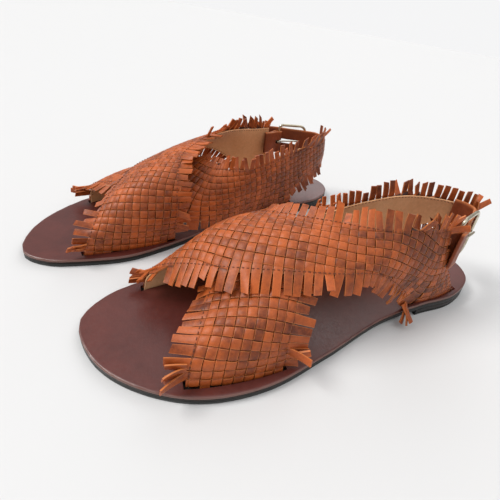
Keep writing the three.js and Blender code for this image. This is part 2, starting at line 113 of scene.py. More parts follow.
BUCKLE_HEADING = np.array([0.36, -0.933, 0.0]) / math.hypot(0.36, 0.933)
BUCKLE_OUT = np.array([-BUCKLE_HEADING[1], BUCKLE_HEADING[0], 0.0])
BUCKLE_LENGTH = 28.0
BUCKLE_HEIGHT = 34.0
FRONT_CORNER = 3.5
REAR_CORNER = 6.0
WIRE_RADIUS = 1.2
PRONG_RADIUS = 0.7
CLEAR = 0.3
END_WIRE = BUCKLE_LENGTH / 2 - WIRE_RADIUS
PRONG_LOOP = WIRE_RADIUS + CLEAR + PRONG_RADIUS
STRAP_THICK = 1.8
STRAP_HEIGHT = 25.0
TAB_THICK = 1.3
TAB_HEIGHT = 20.0
STRAP_START = [(-9, 106.2), (-3.5, 110.4), (4, 110.6)]
STRAP_END = [(27.6, 77), (29.4, 72.2)]
TAB_END = (19, 64)
PRONG_SLOT_HALF = 1.2               # half the height of the slots that the prong goes through
SOLE_END_GAP = 0.12                 # what the layers keep from the sole's very ends


# ------------------------------------------------------------------ curves and surfaces
def catmull(points, u):
    """Points of a uniform Catmull-Rom curve at u, from 0 to 1."""
    p = np.asarray(points, float)
    last = len(p) - 1
    padded = np.vstack([2 * p[0] - p[1], p, 2 * p[-1] - p[-2]])
    x = np.clip(u, 0, 1) * last
    k = np.minimum(x.astype(int), last - 1)
    w = (x - k)[..., None]
    before, start, end, after = padded[k], padded[k + 1], padded[k + 2], padded[k + 3]
    return hermite(start, end, (end - before) / 2, (after - start) / 2, w)


def hermite(start, end, leave, arrive, w):
    return ((2 * w ** 3 - 3 * w ** 2 + 1) * start + (w ** 3 - 2 * w ** 2 + w) * leave
            + (3 * w ** 2 - 2 * w ** 3) * end + (w ** 3 - w ** 2) * arrive)


def centripetal(points, closed, per_span):
    """A centripetal Catmull-Rom curve as a dense row of points."""
    p = np.asarray(points, float)
    if closed:
        padded = np.vstack([p[-1], p, p[0], p[1]])
        spans = len(p)
    else:
        padded = np.vstack([2 * p[0] - p[1], p, 2 * p[-1] - p[-2]])
        spans = len(p) - 1
    w = np.linspace(0, 1, per_span, endpoint=False)[:, None]
    rows = []
    for k in range(spans):
        a, b, c, d = padded[k:k + 4]
        t0, t1, t2 = (max(np.linalg.norm(q - r), 1e-4) ** 0.5 for q, r in ((b, a), (c, b), (d, c)))
        leave = ((b - a) / t0 - (c - a) / (t0 + t1) + (c - b) / t1) * t1
        arrive = ((c - b) / t1 - (d - b) / (t1 + t2) + (d - c) / t2) * t1
        rows.append(hermite(b, c, leave, arrive, w))
    if not closed:
        rows.append(p[-1:])
    return np.vstack(rows)


def unit(v):
    return v / np.maximum(np.linalg.norm(v, axis=-1, keepdims=True), 1e-9)


def ease(x):
    x = np.clip(x, 0, 1)
    return x * x * (3 - 2 * x)


def footbed_height(y):
    return F + HEEL_RISE * ease((np.asarray(y, float) - RAMP[0]) / (RAMP[1] - RAMP[0]))


OUTLINE = centripetal([(x, y, 0) for x, y in SOLE_OUTLINE], True, 36)[:, :2]


def sole_edges(y):
    """Inner and outer edge of the sole at y."""
    loop = np.vstack([OUTLINE, OUTLINE[:1]])
    a, b = loop[:-1], loop[1:]
    hit = (a[:, 1] - y) * (b[:, 1] - y) < 0
    a, b = a[hit], b[hit]
    x = a[:, 0] + (b[:, 0] - a[:, 0]) * (y - a[:, 1]) / (b[:, 1] - a[:, 1])
    return x.min(), x.max()


EDGE_STATIONS = np.linspace(-HALF_LENGTH + 0.3, HALF_LENGTH - 0.3, 200)
EDGE_TABLE = np.array([sole_edges(y) for y in EDGE_STATIONS])


def over_sole(x, y, margin=0.0):
    """True where a point lies over the sole, by more than the margin."""
    low = np.interp(y, EDGE_STATIONS, EDGE_TABLE[:, 0])
    high = np.interp(y, EDGE_STATIONS, EDGE_TABLE[:, 1])
    return (x > low + margin) & (x < high - margin) & (np.abs(y) < HALF_LENGTH - margin)


class Band:
    """The outer face of a band: s runs along it and t across it, from its front edge to its rear edge."""

    def __init__(self, lines, outward):
        self.lines = lines
        self.outward = outward
        s = np.linspace(0, 1, 601)
        middle = self.face(s, np.full_like(s, 0.5))
        self.lengths = np.r_[0, np.cumsum(np.linalg.norm(np.diff(middle, axis=0), axis=1))]
        self.stations = s
        self.length = self.lengths[-1]
        across = np.stack([self.face(s, np.full_like(s, t)) for t in np.linspace(0, 1, 9)])
        wide = np.linalg.norm(np.diff(across, axis=0), axis=2).sum(axis=0)
        kernel = np.ones(41) / 41
        self.widths = np.convolve(np.pad(wide, 20, mode="edge"), kernel, mode="valid")
        self.square_up()

    def square_up(self):
        """Traces lines that cross the band square to its edges: a table of s over u and t."""
        self.table_u = np.linspace(-MARGIN, self.length + MARGIN, 260)
        self.table_t = np.linspace(0, 1, 41)
        step = self.table_t[1] - self.table_t[0]
        past_ends = np.minimum(self.table_u, 0) + np.maximum(self.table_u - self.length, 0)
        start = np.interp(self.table_u, self.lengths, self.stations) + past_ends / self.length
        middle = len(self.table_t) // 2
        table = np.empty((len(self.table_u), len(self.table_t)))
        table[:, middle] = start
        for way in (-1, 1):
            s = start.copy()
            for k in range(1, middle + 1):
                t = np.full_like(s, self.table_t[middle + way * (k - 1)])
                s = s + self.square_slope(s, t) * way * step
                table[:, middle + way * k] = s
        smooth = np.array([1, 4, 6, 4, 1]) / 16
        for k in range(len(self.table_t)):
            padded = np.pad(table[:, k], 2, mode="reflect", reflect_type="odd")
            table[:, k] = np.convolve(padded, smooth, mode="valid")
        self.table = table

    def square_slope(self, s, t, step=0.01):
        """ds/dt of a line square to the lines of constant t."""
        s = np.clip(s, 0, 1)
        s0, s1 = np.clip(s - step, 0, 1), np.clip(s + step, 0, 1)
        t0, t1 = np.clip(t - step, 0, 1), np.clip(t + step, 0, 1)
        along = (self.face(s1, t) - self.face(s0, t)) / (s1 - s0)[:, None]
        across = (self.face(s, t1) - self.face(s, t0)) / (t1 - t0)[:, None]
        slope = -(across * along).sum(-1) / np.maximum((along * along).sum(-1), 1e-6)
        return np.clip(slope, -0.5, 0.5)

    def square(self, u, t):
        """s on the square line that starts from u, where that line is at t."""
        u, t = np.broadcast_arrays(np.asarray(u, float), np.clip(t, 0, 1))
        x = (u - self.table_u[0]) / (self.table_u[1] - self.table_u[0])
        y = t * (len(self.table_t) - 1)
        i = np.clip(x.astype(int), 0, len(self.table_u) - 2)
        j = np.clip(y.astype(int), 0, len(self.table_t) - 2)
        a, b = np.clip(x - i, 0, 1), y - j
        return ((1 - a) * (1 - b) * self.table[i, j] + a * (1 - b) * self.table[i + 1, j]
                + (1 - a) * b * self.table[i, j + 1] + a * b * self.table[i + 1, j + 1])

    def face(self, s, t):
        front, middle, rear = (catmull(line, s) for line in self.lines)
        t = np.asarray(t)[..., None]
        point = (1 - t) * (1 - 2 * t) * front + 4 * t * (1 - t) * middle + t * (2 * t - 1) * rear
        point[..., 2] = np.maximum(point[..., 2], footbed_height(point[..., 1]) + BAND_FOOT)
        return point

    def normal(self, s, t, step=0.006):
        s0, s1 = np.clip(s - step, 0, 1), np.clip(s + step, 0, 1)
        t0, t1 = np.clip(t - step, 0, 1), np.clip(t + step, 0, 1)
        along = self.face(s1, t) - self.face(s0, t)
        across = self.face(s, t1) - self.face(s, t0)
        return unit(np.cross(along, across)) * self.outward

    def at(self, s, t, depth):
        s, t = np.broadcast_arrays(np.asarray(s, float), np.asarray(t, float))
        return self.face(s, t) - self.normal(s, t) * np.asarray(depth)[..., None]

    def station(self, u):
        """s at a distance u along the middle of the band."""
        return np.interp(u, self.lengths, self.stations)

    def width(self, s):
        return np.interp(s, self.stations, self.widths)


OVER = Band(OVER_BAND, 1)
UNDER = Band(UNDER_BAND, -1)


# ------------------------------------------------------------------ placing shapes in the frame
def joint_place(name):
    return np.array(next(j["pos_m"] for j in frame["joints"] if j["name"] == name), float) / MM


def turned(points):
    """The left shoe's shape mirrored and turned as the right shoe stands."""
    q = np.asarray(points, float) * (-1, 1, 1)
    c, s = math.cos(RIGHT_TURN), math.sin(RIGHT_TURN)
    return np.stack([c * q[..., 0] - s * q[..., 1], s * q[..., 0] + c * q[..., 1], q[..., 2]], -1)


HINGE = BUCKLE_CENTRE + BUCKLE_HEADING * END_WIRE
SHIFT = {
    "left": joint_place("left_buckle_frame_swing") - HINGE,
    "right": joint_place("right_buckle_frame_swing") - turned(HINGE),
}


def placed(side, points):
    """Left-shoe millimetres to metres in the frame, for either shoe."""
    shape = np.asarray(points, float) if side == "left" else turned(points)
    return (shape + SHIFT[side]) * MM


class Shell:
    """Gathers grids of points, each a strip of quads, into one mesh with a UV map and a tone, which on the
    plait carries each strip's random tone and painted shade.
    """

    def __init__(self):
        self.points, self.faces, self.uv, self.tone = [], [], [], []
        self.count = 0

    def grid(self, points, outward, uv=None, tone=0.5, wrap=False):
        rows, columns = points.shape[:2]
        index = self.count + np.arange(rows * columns).reshape(rows, columns)
        if wrap:
            index = np.hstack([index, index[:, :1]])
        quads = np.stack([index[:-1, :-1], index[1:, :-1], index[1:, 1:], index[:-1, 1:]], -1).reshape(-1, 4)
        flat = points.reshape(-1, 3)
        corner = flat[quads - self.count]
        facing = np.cross(corner[:, 2] - corner[:, 0], corner[:, 3] - corner[:, 1])
        wanted = np.broadcast_to(outward, points.shape).reshape(-1, 3)[quads[:, 0] - self.count]
        if (facing * wanted).sum() < 0:
            quads = quads[:, ::-1]
        self.points.append(flat)
        self.faces.append(quads)
        if uv is None:
            uv = np.zeros((rows, columns, 2))
        self.uv.append(uv.reshape(-1, 2))
        self.tone.append(np.broadcast_to(np.asarray(tone, float), (rows, columns)).reshape(-1))
        self.count += rows * columns
        return index

    def quads(self, quads):
        self.faces.append(np.asarray(quads, int).reshape(-1, 4))

    def build(self, name, side):
        points = placed(side, np.vstack(self.points))
        faces = np.vstack(self.faces)
        if side == "right":
            faces = faces[:, ::-1]
        mesh = bpy.data.meshes.new(name)
        mesh.from_pydata(points.tolist(), [], faces.tolist())
        order = np.empty(len(mesh.loops), np.int32)
        mesh.loops.foreach_get("vertex_index", order)
        layer = mesh.uv_layers.new(name="UVMap")
        layer.data.foreach_set("uv", np.vstack(self.uv)[order].astype(np.float32).ravel())
        tone = mesh.attributes.new("tone", "FLOAT", "POINT")
        tone.data.foreach_set("value", np.concatenate(self.tone).astype(np.float32))
        mesh.update()
        piece = bpy.data.objects.new(name, mesh)
        bpy.context.scene.collection.objects.link(piece)
        return piece


def select_only(piece):
    bpy.ops.object.select_all(action="DESELECT")
    piece.select_set(True)
    bpy.context.view_layer.objects.active = piece


def face_outwards(piece):
    """Turn the faces of a closed piece outwards."""
    select_only(piece)
    bpy.ops.object.mode_set(mode="EDIT")
    bpy.ops.mesh.select_all(action="SELECT")
    bpy.ops.mesh.normals_make_consistent(inside=False)
    bpy.ops.object.mode_set(mode="OBJECT")


def thicken(piece, thickness_mm, offset=0.0):
    select_only(piece)
    bpy.ops.object.modifier_add(type="SOLIDIFY")
    wall = piece.modifiers[-1]
    wall.thickness = thickness_mm * MM
    wall.offset = offset
    wall.use_even_offset = False
    bpy.ops.object.modifier_apply(modifier=wall.name)


def finish_piece(piece, side, material, nodes=(), body=None, angle=50):
    select_only(piece)
    bpy.ops.object.shade_smooth_by_angle(angle=math.radians(angle))
    piece.data.materials.clear()
    piece.data.materials.append(material)
    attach(piece, body or BODY[side])
    if nodes:
        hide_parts(*[f"{side}_{node}" for node in nodes])
    return piece


# ------------------------------------------------------------------ materials
def srgb(r, g, b):
    def linear(c):
        c /= 255
        return c / 12.92 if c <= 0.04045 else ((c + 0.055) / 1.055) ** 2.4
    return (linear(r), linear(g), linear(b), 1.0)


def node(tree, kind, **values):
    made = tree.nodes.new(kind)
    for key, value in values.items():
        if key in made.inputs:
            made.inputs[key].default_value = value
        else:
            setattr(made, key, value)
    return made


def grain_group():
    """Fine hair-side grain with a few soft creases: a height and a mask of the tops of the grain."""
    if "Leather grain" in bpy.data.node_groups:
        return bpy.data.node_groups["Leather grain"]
    tree = bpy.data.node_groups.new("Leather grain", "ShaderNodeTree")
    tree.interface.new_socket("Coordinate", in_out="INPUT", socket_type="NodeSocketVector")
    tree.interface.new_socket("Scale", in_out="INPUT", socket_type="NodeSocketFloat").default_value = 900
    tree.interface.new_socket("Creases", in_out="INPUT", socket_type="NodeSocketFloat").default_value = 0.4
    tree.interface.new_socket("Height", in_out="OUTPUT", socket_type="NodeSocketFloat")
    tree.interface.new_socket("Tops", in_out="OUTPUT", socket_type="NodeSocketFloat")
    start, end = tree.nodes.new("NodeGroupInput"), tree.nodes.new("NodeGroupOutput")
    pores = node(tree, "ShaderNodeTexVoronoi", feature="SMOOTH_F1")
    fine = node(tree, "ShaderNodeTexNoise", Detail=6.0, Roughness=0.65)
    creases = node(tree, "ShaderNodeTexNoise", Detail=4.0, Roughness=0.55, Distortion=1.2)
    low = node(tree, "ShaderNodeMath", operation="MULTIPLY")
    low.inputs[1].default_value = 0.22
    ridge = node(tree, "ShaderNodeMath", operation="MULTIPLY")
    half = node(tree, "ShaderNodeMath", operation="MULTIPLY")
    half.inputs[1].default_value = 0.6
    both = node(tree, "ShaderNodeMath", operation="ADD")
    total = node(tree, "ShaderNodeMath", operation="ADD")
    link = tree.links.new
    for texture in (pores, fine, creases):
        link(start.outputs["Coordinate"], texture.inputs["Vector"])
    link(start.outputs["Scale"], pores.inputs["Scale"])
    link(start.outputs["Scale"], fine.inputs["Scale"])
    link(start.outputs["Scale"], low.inputs[0])
    link(low.outputs[0], creases.inputs["Scale"])
    link(pores.outputs["Distance"], half.inputs[0])
    link(half.outputs[0], both.inputs[0])
    link(fine.outputs["Fac"], both.inputs[1])
    link(creases.outputs["Fac"], ridge.inputs[0])
    link(start.outputs["Creases"], ridge.inputs[1])
    link(both.outputs[0], total.inputs[0])
    link(ridge.outputs[0], total.inputs[1])
    link(total.outputs[0], end.inputs["Height"])
    link(fine.outputs["Fac"], end.inputs["Tops"])
    return tree


def mottle_group():
    """Slow unevenness of dye and handling: broad clouds with finer flecks in them."""
    if "Dye mottle" in bpy.data.node_groups:
        return bpy.data.node_groups["Dye mottle"]
    tree = bpy.data.node_groups.new("Dye mottle", "ShaderNodeTree")
    tree.interface.new_socket("Coordinate", in_out="INPUT", socket_type="NodeSocketVector")
    tree.interface.new_socket("Scale", in_out="INPUT", socket_type="NodeSocketFloat").default_value = 60
    tree.interface.new_socket("Amount", in_out="OUTPUT", socket_type="NodeSocketFloat")
    start, end = tree.nodes.new("NodeGroupInput"), tree.nodes.new("NodeGroupOutput")
    broad = node(tree, "ShaderNodeTexNoise", Detail=3.0, Roughness=0.5)
    flecks = node(tree, "ShaderNodeTexNoise", Detail=5.0, Roughness=0.7)
    larger = node(tree, "ShaderNodeMath", operation="MULTIPLY")
    larger.inputs[1].default_value = 7.0
    mixed = node(tree, "ShaderNodeMix", data_type="FLOAT")
    mixed.inputs["Factor"].default_value = 0.42
    sharpen = node(tree, "ShaderNodeMapRange")
    sharpen.inputs["From Min"].default_value = 0.34
    sharpen.inputs["From Max"].default_value = 0.66
    link = tree.links.new
    link(start.outputs["Coordinate"], broad.inputs["Vector"])
    link(start.outputs["Coordinate"], flecks.inputs["Vector"])
    link(start.outputs["Scale"], broad.inputs["Scale"])
    link(start.outputs["Scale"], larger.inputs[0])
    link(larger.outputs[0], flecks.inputs["Scale"])
    link(broad.outputs["Fac"], mixed.inputs["A"])
    link(flecks.outputs["Fac"], mixed.inputs["B"])
    link(mixed.outputs["Result"], sharpen.inputs["Value"])
    link(sharpen.outputs["Result"], end.inputs["Amount"])
    return tree


def blended(tree, factor, low, high):
    """Colour between two sockets or fixed colours."""
    made = node(tree, "ShaderNodeMix", data_type="RGBA")
    if isinstance(factor, float):
        made.inputs["Factor"].default_value = factor
    else:
        tree.links.new(factor, made.inputs["Factor"])
    for name, value in (("A", low), ("B", high)):
        socket = next(s for s in made.inputs if s.name == name and s.type == "RGBA")
        if isinstance(value, tuple):
            socket.default_value = value
        else:
            tree.links.new(value, socket)
    return next(s for s in made.outputs if s.type == "RGBA")


def ranged(tree, value, low, high, to_low, to_high):
    made = node(tree, "ShaderNodeMapRange")
    for name, number in (("From Min", low), ("From Max", high), ("To Min", to_low), ("To Max", to_high)):
        made.inputs[name].default_value = number
    tree.links.new(value, made.inputs["Value"])
    return made.outputs["Result"]


def add_bump(tree, shader, height, strength, distance):
    bump = node(tree, "ShaderNodeBump", Strength=strength, Distance=distance)
    tree.links.new(height, bump.inputs["Height"])
    tree.links.new(bump.outputs["Normal"], shader.inputs["Normal"])


def new_material(name):
    material = bpy.data.materials.new(name)
    material.use_nodes = True
    tree = material.node_tree
    shader = tree.nodes["Principled BSDF"]
    coordinate = node(tree, "ShaderNodeTexCoord").outputs["Object"]
    return material, tree, shader, coordinate


def group(tree, made, **values):
    placed_group = tree.nodes.new("ShaderNodeGroup")
    placed_group.node_tree = made
    for key, value in values.items():
        placed_group.inputs[key].default_value = value
    return placed_group


def leather(name, dark, light, edge=None, grain=1100.0, depth=0.00012, roughness=(0.42, 0.62), coat=0.0,
            by_strip=False, creases=0.4, specular=0.5, mottle=55.0):
    """Dyed leather: mottled colour, lighter cut edges where the UV map says so, partly a painted highlight
    along the edge (on the footbed wholly a painted highlight along its rim), painted shade from the tone
    attribute where by_strip is set, grain and uneven gloss.
    """
    material, tree, shader, coordinate = new_material(name)
    link = tree.links.new
    spots = group(tree, mottle_group(), Scale=mottle)
    link(coordinate, spots.inputs["Coordinate"])
    colour = blended(tree, spots.outputs["Amount"], dark, light)
    if by_strip:
        tone = node(tree, "ShaderNodeAttribute", attribute_name="tone").outputs["Fac"]
        # Low tones blend towards a darker colour: partly a strip's own random tone, partly painted shade in
        # the dips of the weave and towards the heel.
        dark_strip_and_painted_shade = tuple(c * 0.38 for c in dark[:3]) + (1,)
        lifted = tuple(min(1.0, c * 1.25) for c in light[:3]) + (1,)
        colour = blended(tree, ranged(tree, tone, 0.0, 0.5, 1.0, 0.0), colour, dark_strip_and_painted_shade)
        colour = blended(tree, ranged(tree, tone, 0.5, 1.0, 0.0, 0.75), colour, lifted)
    if edge:
        # Lighter colour along the UV edges: the cut edge's own colour, partly a painted highlight along it;
        # on the footbed a painted highlight along the burnished rim.
        across = node(tree, "ShaderNodeSeparateXYZ")
        link(node(tree, "ShaderNodeUVMap", uv_map="UVMap").outputs["UV"], across.inputs[0])
        away = node(tree, "ShaderNodeMath", operation="ABSOLUTE")
        link(across.outputs["Y"], away.inputs[0])
        colour = blended(tree, ranged(tree, away.outputs[0], 0.86, 0.99, 0.0, 0.5), colour, edge)
    link(colour, shader.inputs["Base Color"])
    skin = group(tree, grain_group(), Scale=grain, Creases=creases)
    link(coordinate, skin.inputs["Coordinate"])
    link(ranged(tree, skin.outputs["Tops"], 0.3, 0.7, roughness[1], roughness[0]), shader.inputs["Roughness"])
    add_bump(tree, shader, skin.outputs["Height"], 0.6, depth)
    shader.inputs["Specular IOR Level"].default_value = specular
    shader.inputs["Coat Weight"].default_value = coat
    shader.inputs["Coat Roughness"].default_value = 0.35
    return material


def suede(name, dark, light):
    """Soft flesh side: fuzzy, matt and streaked by the nap."""
    material, tree, shader, coordinate = new_material(name)
    link = tree.links.new
    nap = node(tree, "ShaderNodeTexNoise", Scale=420.0, Detail=8.0, Roughness=0.8)
    link(coordinate, nap.inputs["Vector"])
    spots = group(tree, mottle_group(), Scale=40.0)
    link(coordinate, spots.inputs["Coordinate"])
    base = blended(tree, spots.outputs["Amount"], dark, light)
    colour = blended(tree, ranged(tree, nap.outputs["Fac"], 0.35, 0.7, 0.0, 0.5), base,
                     tuple(c * 0.72 for c in dark[:3]) + (1,))
    link(colour, shader.inputs["Base Color"])
    shader.inputs["Roughness"].default_value = 0.95
    shader.inputs["Specular IOR Level"].default_value = 0.15
    shader.inputs["Sheen Weight"].default_value = 0.25
    shader.inputs["Sheen Roughness"].default_value = 0.5
    add_bump(tree, shader, nap.outputs["Fac"], 0.5, 0.0002)
    return material


def metal(name, base, worn, roughness):
    """Plated or plain metal with faint wipe marks and duller spots."""
    material, tree, shader, coordinate = new_material(name)
    link = tree.links.new
    spots = group(tree, mottle_group(), Scale=240.0)
    link(coordinate, spots.inputs["Coordinate"])
    link(blended(tree, spots.outputs["Amount"], base, worn), shader.inputs["Base Color"])
    link(ranged(tree, spots.outputs["Amount"], 0.0, 1.0, *roughness), shader.inputs["Roughness"])
    shader.inputs["Metallic"].default_value = 1.0
    return material


def thread(name, dark, light):
    """Waxed thread: a twist of fine plies."""
    material, tree, shader, coordinate = new_material(name)
    link = tree.links.new
    twist = node(tree, "ShaderNodeTexWave", Scale=900.0, Distortion=1.0)
    link(coordinate, twist.inputs["Vector"])
    link(blended(tree, twist.outputs["Fac"], dark, light), shader.inputs["Base Color"])
    shader.inputs["Roughness"].default_value = 0.6
    add_bump(tree, shader, twist.outputs["Fac"], 0.4, 0.00008)
    return material


def floor_material(colour):
    material, tree, shader, coordinate = new_material("Studio floor")
    shader.inputs["Base Color"].default_value = colour
    shader.inputs["Roughness"].default_value = 0.9
    shader.inputs["Specular IOR Level"].default_value = 0.1
    return material


FINISHES = {}


def finish(name):
    """Each finish is made once, the first time a piece asks for it."""
    if not FINISHES:
        colours = bpy.context.scene.sandal_finishes
        FINISHES.update({
            # The plait's edge colour is its lighter cut edge, partly a painted highlight, and its tone
            # attribute carries painted shade.
            "plait": leather("Plaited leather", srgb(96, 38, 12), srgb(196, 96, 38), srgb(234, 146, 84),
                             by_strip=True, specular=0.42, roughness=(0.38, 0.56)),
            # The footbed's edge colour is a painted highlight along its burnished rim.
            "footbed": leather("Footbed leather", srgb(76, 30, 25), srgb(98, 43, 36), srgb(132, 92, 78),
                               grain=700.0, depth=0.00006, roughness=(0.3, 0.44), specular=0.7, mottle=26.0),
            "strap": leather("Strap leather", srgb(104, 46, 22), srgb(148, 72, 36), srgb(222, 134, 76),
                             specular=0.45),
            "lining": suede("Lining suede", srgb(228, 168, 118), srgb(246, 196, 148)),
            "outsole": leather("Outsole rubber", srgb(20, 22, 21), srgb(34, 36, 34), grain=500.0,
                               depth=0.00005, roughness=(0.38, 0.55), creases=0.1),
            "heel": leather("Heel leather", srgb(26, 23, 22), srgb(44, 38, 36), grain=420.0, depth=0.00008),
            "top_piece": leather("Heel rubber", srgb(20, 20, 20), srgb(34, 34, 33), grain=420.0,
                                 depth=0.00006, roughness=(0.6, 0.8), creases=0.1),
            "midsole": suede("Fibre board", srgb(32, 26, 23), srgb(46, 38, 33)),
            "steel": metal("Plain steel", srgb(150, 152, 156), srgb(120, 122, 126), (0.35, 0.5)),
            "wire": metal("Nickel wire", tuple(colours.wire) + (1.0,), srgb(170, 160, 138), (0.2, 0.36)),
            "thread": thread("Waxed thread", srgb(92, 44, 22), srgb(134, 70, 38)),
        })
    return FINISHES[name]


# ------------------------------------------------------------------ plait
def strip_lift(u, pitch, parity):
    """Height of a strip that goes over and under, at distance u: 1 on top of a crossing, -1 below one."""
    cell = np.floor(u / pitch).astype(int)
    away = np.abs(u / pitch - cell - 0.5)
    sign = np.where((cell + parity) % 2 == 0, 1.0, -1.0)
    return sign * (1 - (2 * away) ** 5)


UV_LENGTH = 10.0                    # millimetres of leather to one unit of the UV map
HEEL_PAINTED_SHADE = 0.22                  # how much painted shade darkens the strips at the heel end of a band
DARKER_FROM = 0.45                  # where along a band the painted shade begins
DARKER_OVER = 0.35                  # how much of a band the change takes
GROUND_GAP = 0.55                   # what loose ends keep from the sole and the floor
ACROSS = np.array([-1.0, -0.78, 0.0, 0.78, 1.0])
CROWN = np.array([0.2, 0.05, 0.0, 0.05, 0.2])
ALONG = np.array([0.0, 0.06, 0.16, 0.5, 0.84, 0.94])


def cell_samples(start, end, pitch):
    """Distances along a strip, finest where it dips between crossings."""
    cells = np.arange(math.floor(start / pitch), math.ceil(end / pitch))
    marks = ((cells[:, None] + ALONG) * pitch).ravel()
    marks = marks[(marks > start + 0.2) & (marks < end - 0.2)]
    return np.r_[start, marks, end]


def tone_of(lift, strip_tone):
    """Tone of a strip: its own random tone, with painted shade where it dips under its neighbours."""
    return np.clip(strip_tone - 0.8 * np.clip(0.7 - lift, 0, 1), 0, 1)


def painted_heel_shade(s):
    """How much painted shade darkens a strip at s, against the toe end of its band."""
    return HEEL_PAINTED_SHADE * ease((s - DARKER_FROM) / DARKER_OVER)


def above_ground(rows):
    """Lifts points that would sink into the sole or the floor."""
    over = over_sole(rows[..., 0], rows[..., 1], -1.0)
    ground = np.where(over, footbed_height(rows[..., 1]), 0)
    rows[..., 2] = np.maximum(rows[..., 2], ground + GROUND_GAP)
    return rows


class Weave:
    """One band of over-and-under plaiting with fringed edges."""

    def __init__(self, band, sizes, seed):
        self.band = band
        self.pitch = sizes.strip_pitch
        self.half = sizes.strip_pitch * sizes.strip_fill / 2
        self.swing = sizes.weave_swing
        self.fringe = sizes.fringe_length
        self.dice = random.Random(seed)
        self.shell = Shell()
        self.runs = []
        self.depth = PLAIT_THICK / 2

    def place(self, u, v):
        """s and t of a point at u along the band and v from its middle."""
        wide = self.band.width(self.band.station(np.clip(u, 0, self.band.length)))
        t = 0.5 + v / wide
        return self.band.square(u, t), t

    def strip_grid(self, u, v, lift, tone):
        s, t = self.place(u, v)
        points = self.band.at(np.clip(s, 0, 1), t, self.depth - self.swing * lift + CROWN)
        # The tones carry painted shade: darker where a strip dips under its neighbours and towards the heel.
        return points, self.band.normal(np.clip(s, 0, 1), t), tone_of(lift, tone - painted_heel_shade(s))

    def rows(self):
        """Long strips: each runs along the band wherever the band is wide enough for it."""
        most = int(self.band.widths.max() / 2 / self.pitch) + 1
        u = np.linspace(-MARGIN, self.band.length + MARGIN, 1200)
        for row in range(-most, most + 1):
            s, t = self.place(u, np.full_like(u, row * self.pitch))
            wide = self.band.width(np.clip(s, 0, 1)) / 2
            inside = (abs(row) * self.pitch + self.half * 0.8 < wide) & (s > 0) & (s < 1)
            edges = np.flatnonzero(np.diff(np.r_[0, inside.astype(int), 0]))
            for a, b in zip(edges[::2], edges[1::2]):
                start, end = u[a], u[b - 1]
                if s[a] > 0.01:
                    start = math.ceil(start / self.pitch) * self.pitch
                if s[b - 1] < 0.99:
                    end = math.floor(end / self.pitch) * self.pitch
                if end - start > 1.5 * self.pitch:
                    self.row(row, start, end)
                    self.runs.append((row, start, end))

    def row(self, row, start, end):
        marks = cell_samples(start, end, self.pitch)
        lift = strip_lift(marks, self.pitch, row)
        tone = self.dice.uniform(0.38, 0.72)
        drift = self.dice.uniform(-0.1, 0.1)
        u = marks[:, None] + 0 * ACROSS
        v = row * self.pitch + drift + self.half * ACROSS + 0 * u
        points, normals, tones = self.strip_grid(u, v, lift[:, None] + 0 * u, tone)
        uv = np.stack([u / UV_LENGTH, ACROSS + 0 * u], -1)
        self.shell.grid(points, normals, uv, tones)

    def crosses(self, front_fringe, rear_fringe):
        """Cross strips, which run out into the fringe at both long edges."""
        first = -int(MARGIN / self.pitch) + 1
        for column in range(first, int((self.band.length + MARGIN) / self.pitch) - 1):
            self.cross(column, front_fringe, rear_fringe)

    def cross(self, column, front_fringe, rear_fringe):
        u0 = (column + 0.5) * self.pitch
        drift = self.dice.uniform(-0.12, 0.12)
        tone = self.dice.uniform(0.42, 0.78)
        wide = float(self.band.width(self.band.station(min(max(u0, 0), self.band.length))))
        reach = wide / 2 - 0.3
        marks = cell_samples(-reach + self.pitch / 2, reach + self.pitch / 2, self.pitch)
        v = marks - self.pitch / 2
        s, _ = self.place(np.full_like(v, u0), v)
        inside = (s > 0.002) & (s < 0.998)
        if inside.sum() < 3:
            return
        lift = -strip_lift(marks, self.pitch, column)
        crossed = [row for row, start, end in self.runs if start - 0.3 <= u0 <= end + 0.3]
        free = np.where(np.isin(np.round(v / self.pitch), crossed), 0.0, 1.0)
        free = np.convolve(np.pad(free, 2, mode="edge"), [0.1, 0.2, 0.4, 0.2, 0.1], mode="valid")
        lift = lift * (1 - free) + 0.8 * free
        keep = np.flatnonzero(inside)
        at_front, at_rear = keep[0] == 0, keep[-1] == len(v) - 1
        marks, v, lift, s = marks[keep], v[keep], lift[keep], s[keep]
        v = v[:, None] + 0 * ACROSS
        u = u0 + drift + self.half * ACROSS + 0 * v
        points, normals, tones = self.strip_grid(u, v, lift[:, None] + 0 * v, tone)
        uv = np.stack([v / UV_LENGTH, ACROSS + 0 * v], -1)
        parts = [points, normals, uv, tones]
        if at_front:
            loose = self.frayed(points[0], points[2], normals[0], s[0], front_fringe)
            parts = self.joined(parts, loose, 0, tone + 0.03 - painted_heel_shade(s[0]))
        if at_rear:
            loose = self.frayed(points[-1], points[-3], normals[-1], s[-1], rear_fringe)
            parts = self.joined(parts, loose, -1, tone + 0.03 - painted_heel_shade(s[-1]))
        self.shell.grid(*parts)

    @staticmethod
    def joined(parts, loose, end, tone):
        """A strip's points, normals, UV map and tones, with a loose end put before or after them."""
        if loose is None:
            return parts
        size = loose.shape[:2]
        added = [
            loose[::-1] if end == 0 else loose,
            np.broadcast_to(parts[1][end], size + (3,)),
            np.broadcast_to(parts[2][end], size + (2,)),
            np.full(size, tone),
        ]
        pairs = zip(added, parts) if end == 0 else zip(parts, added)
        return [np.concatenate(pair) for pair in pairs]

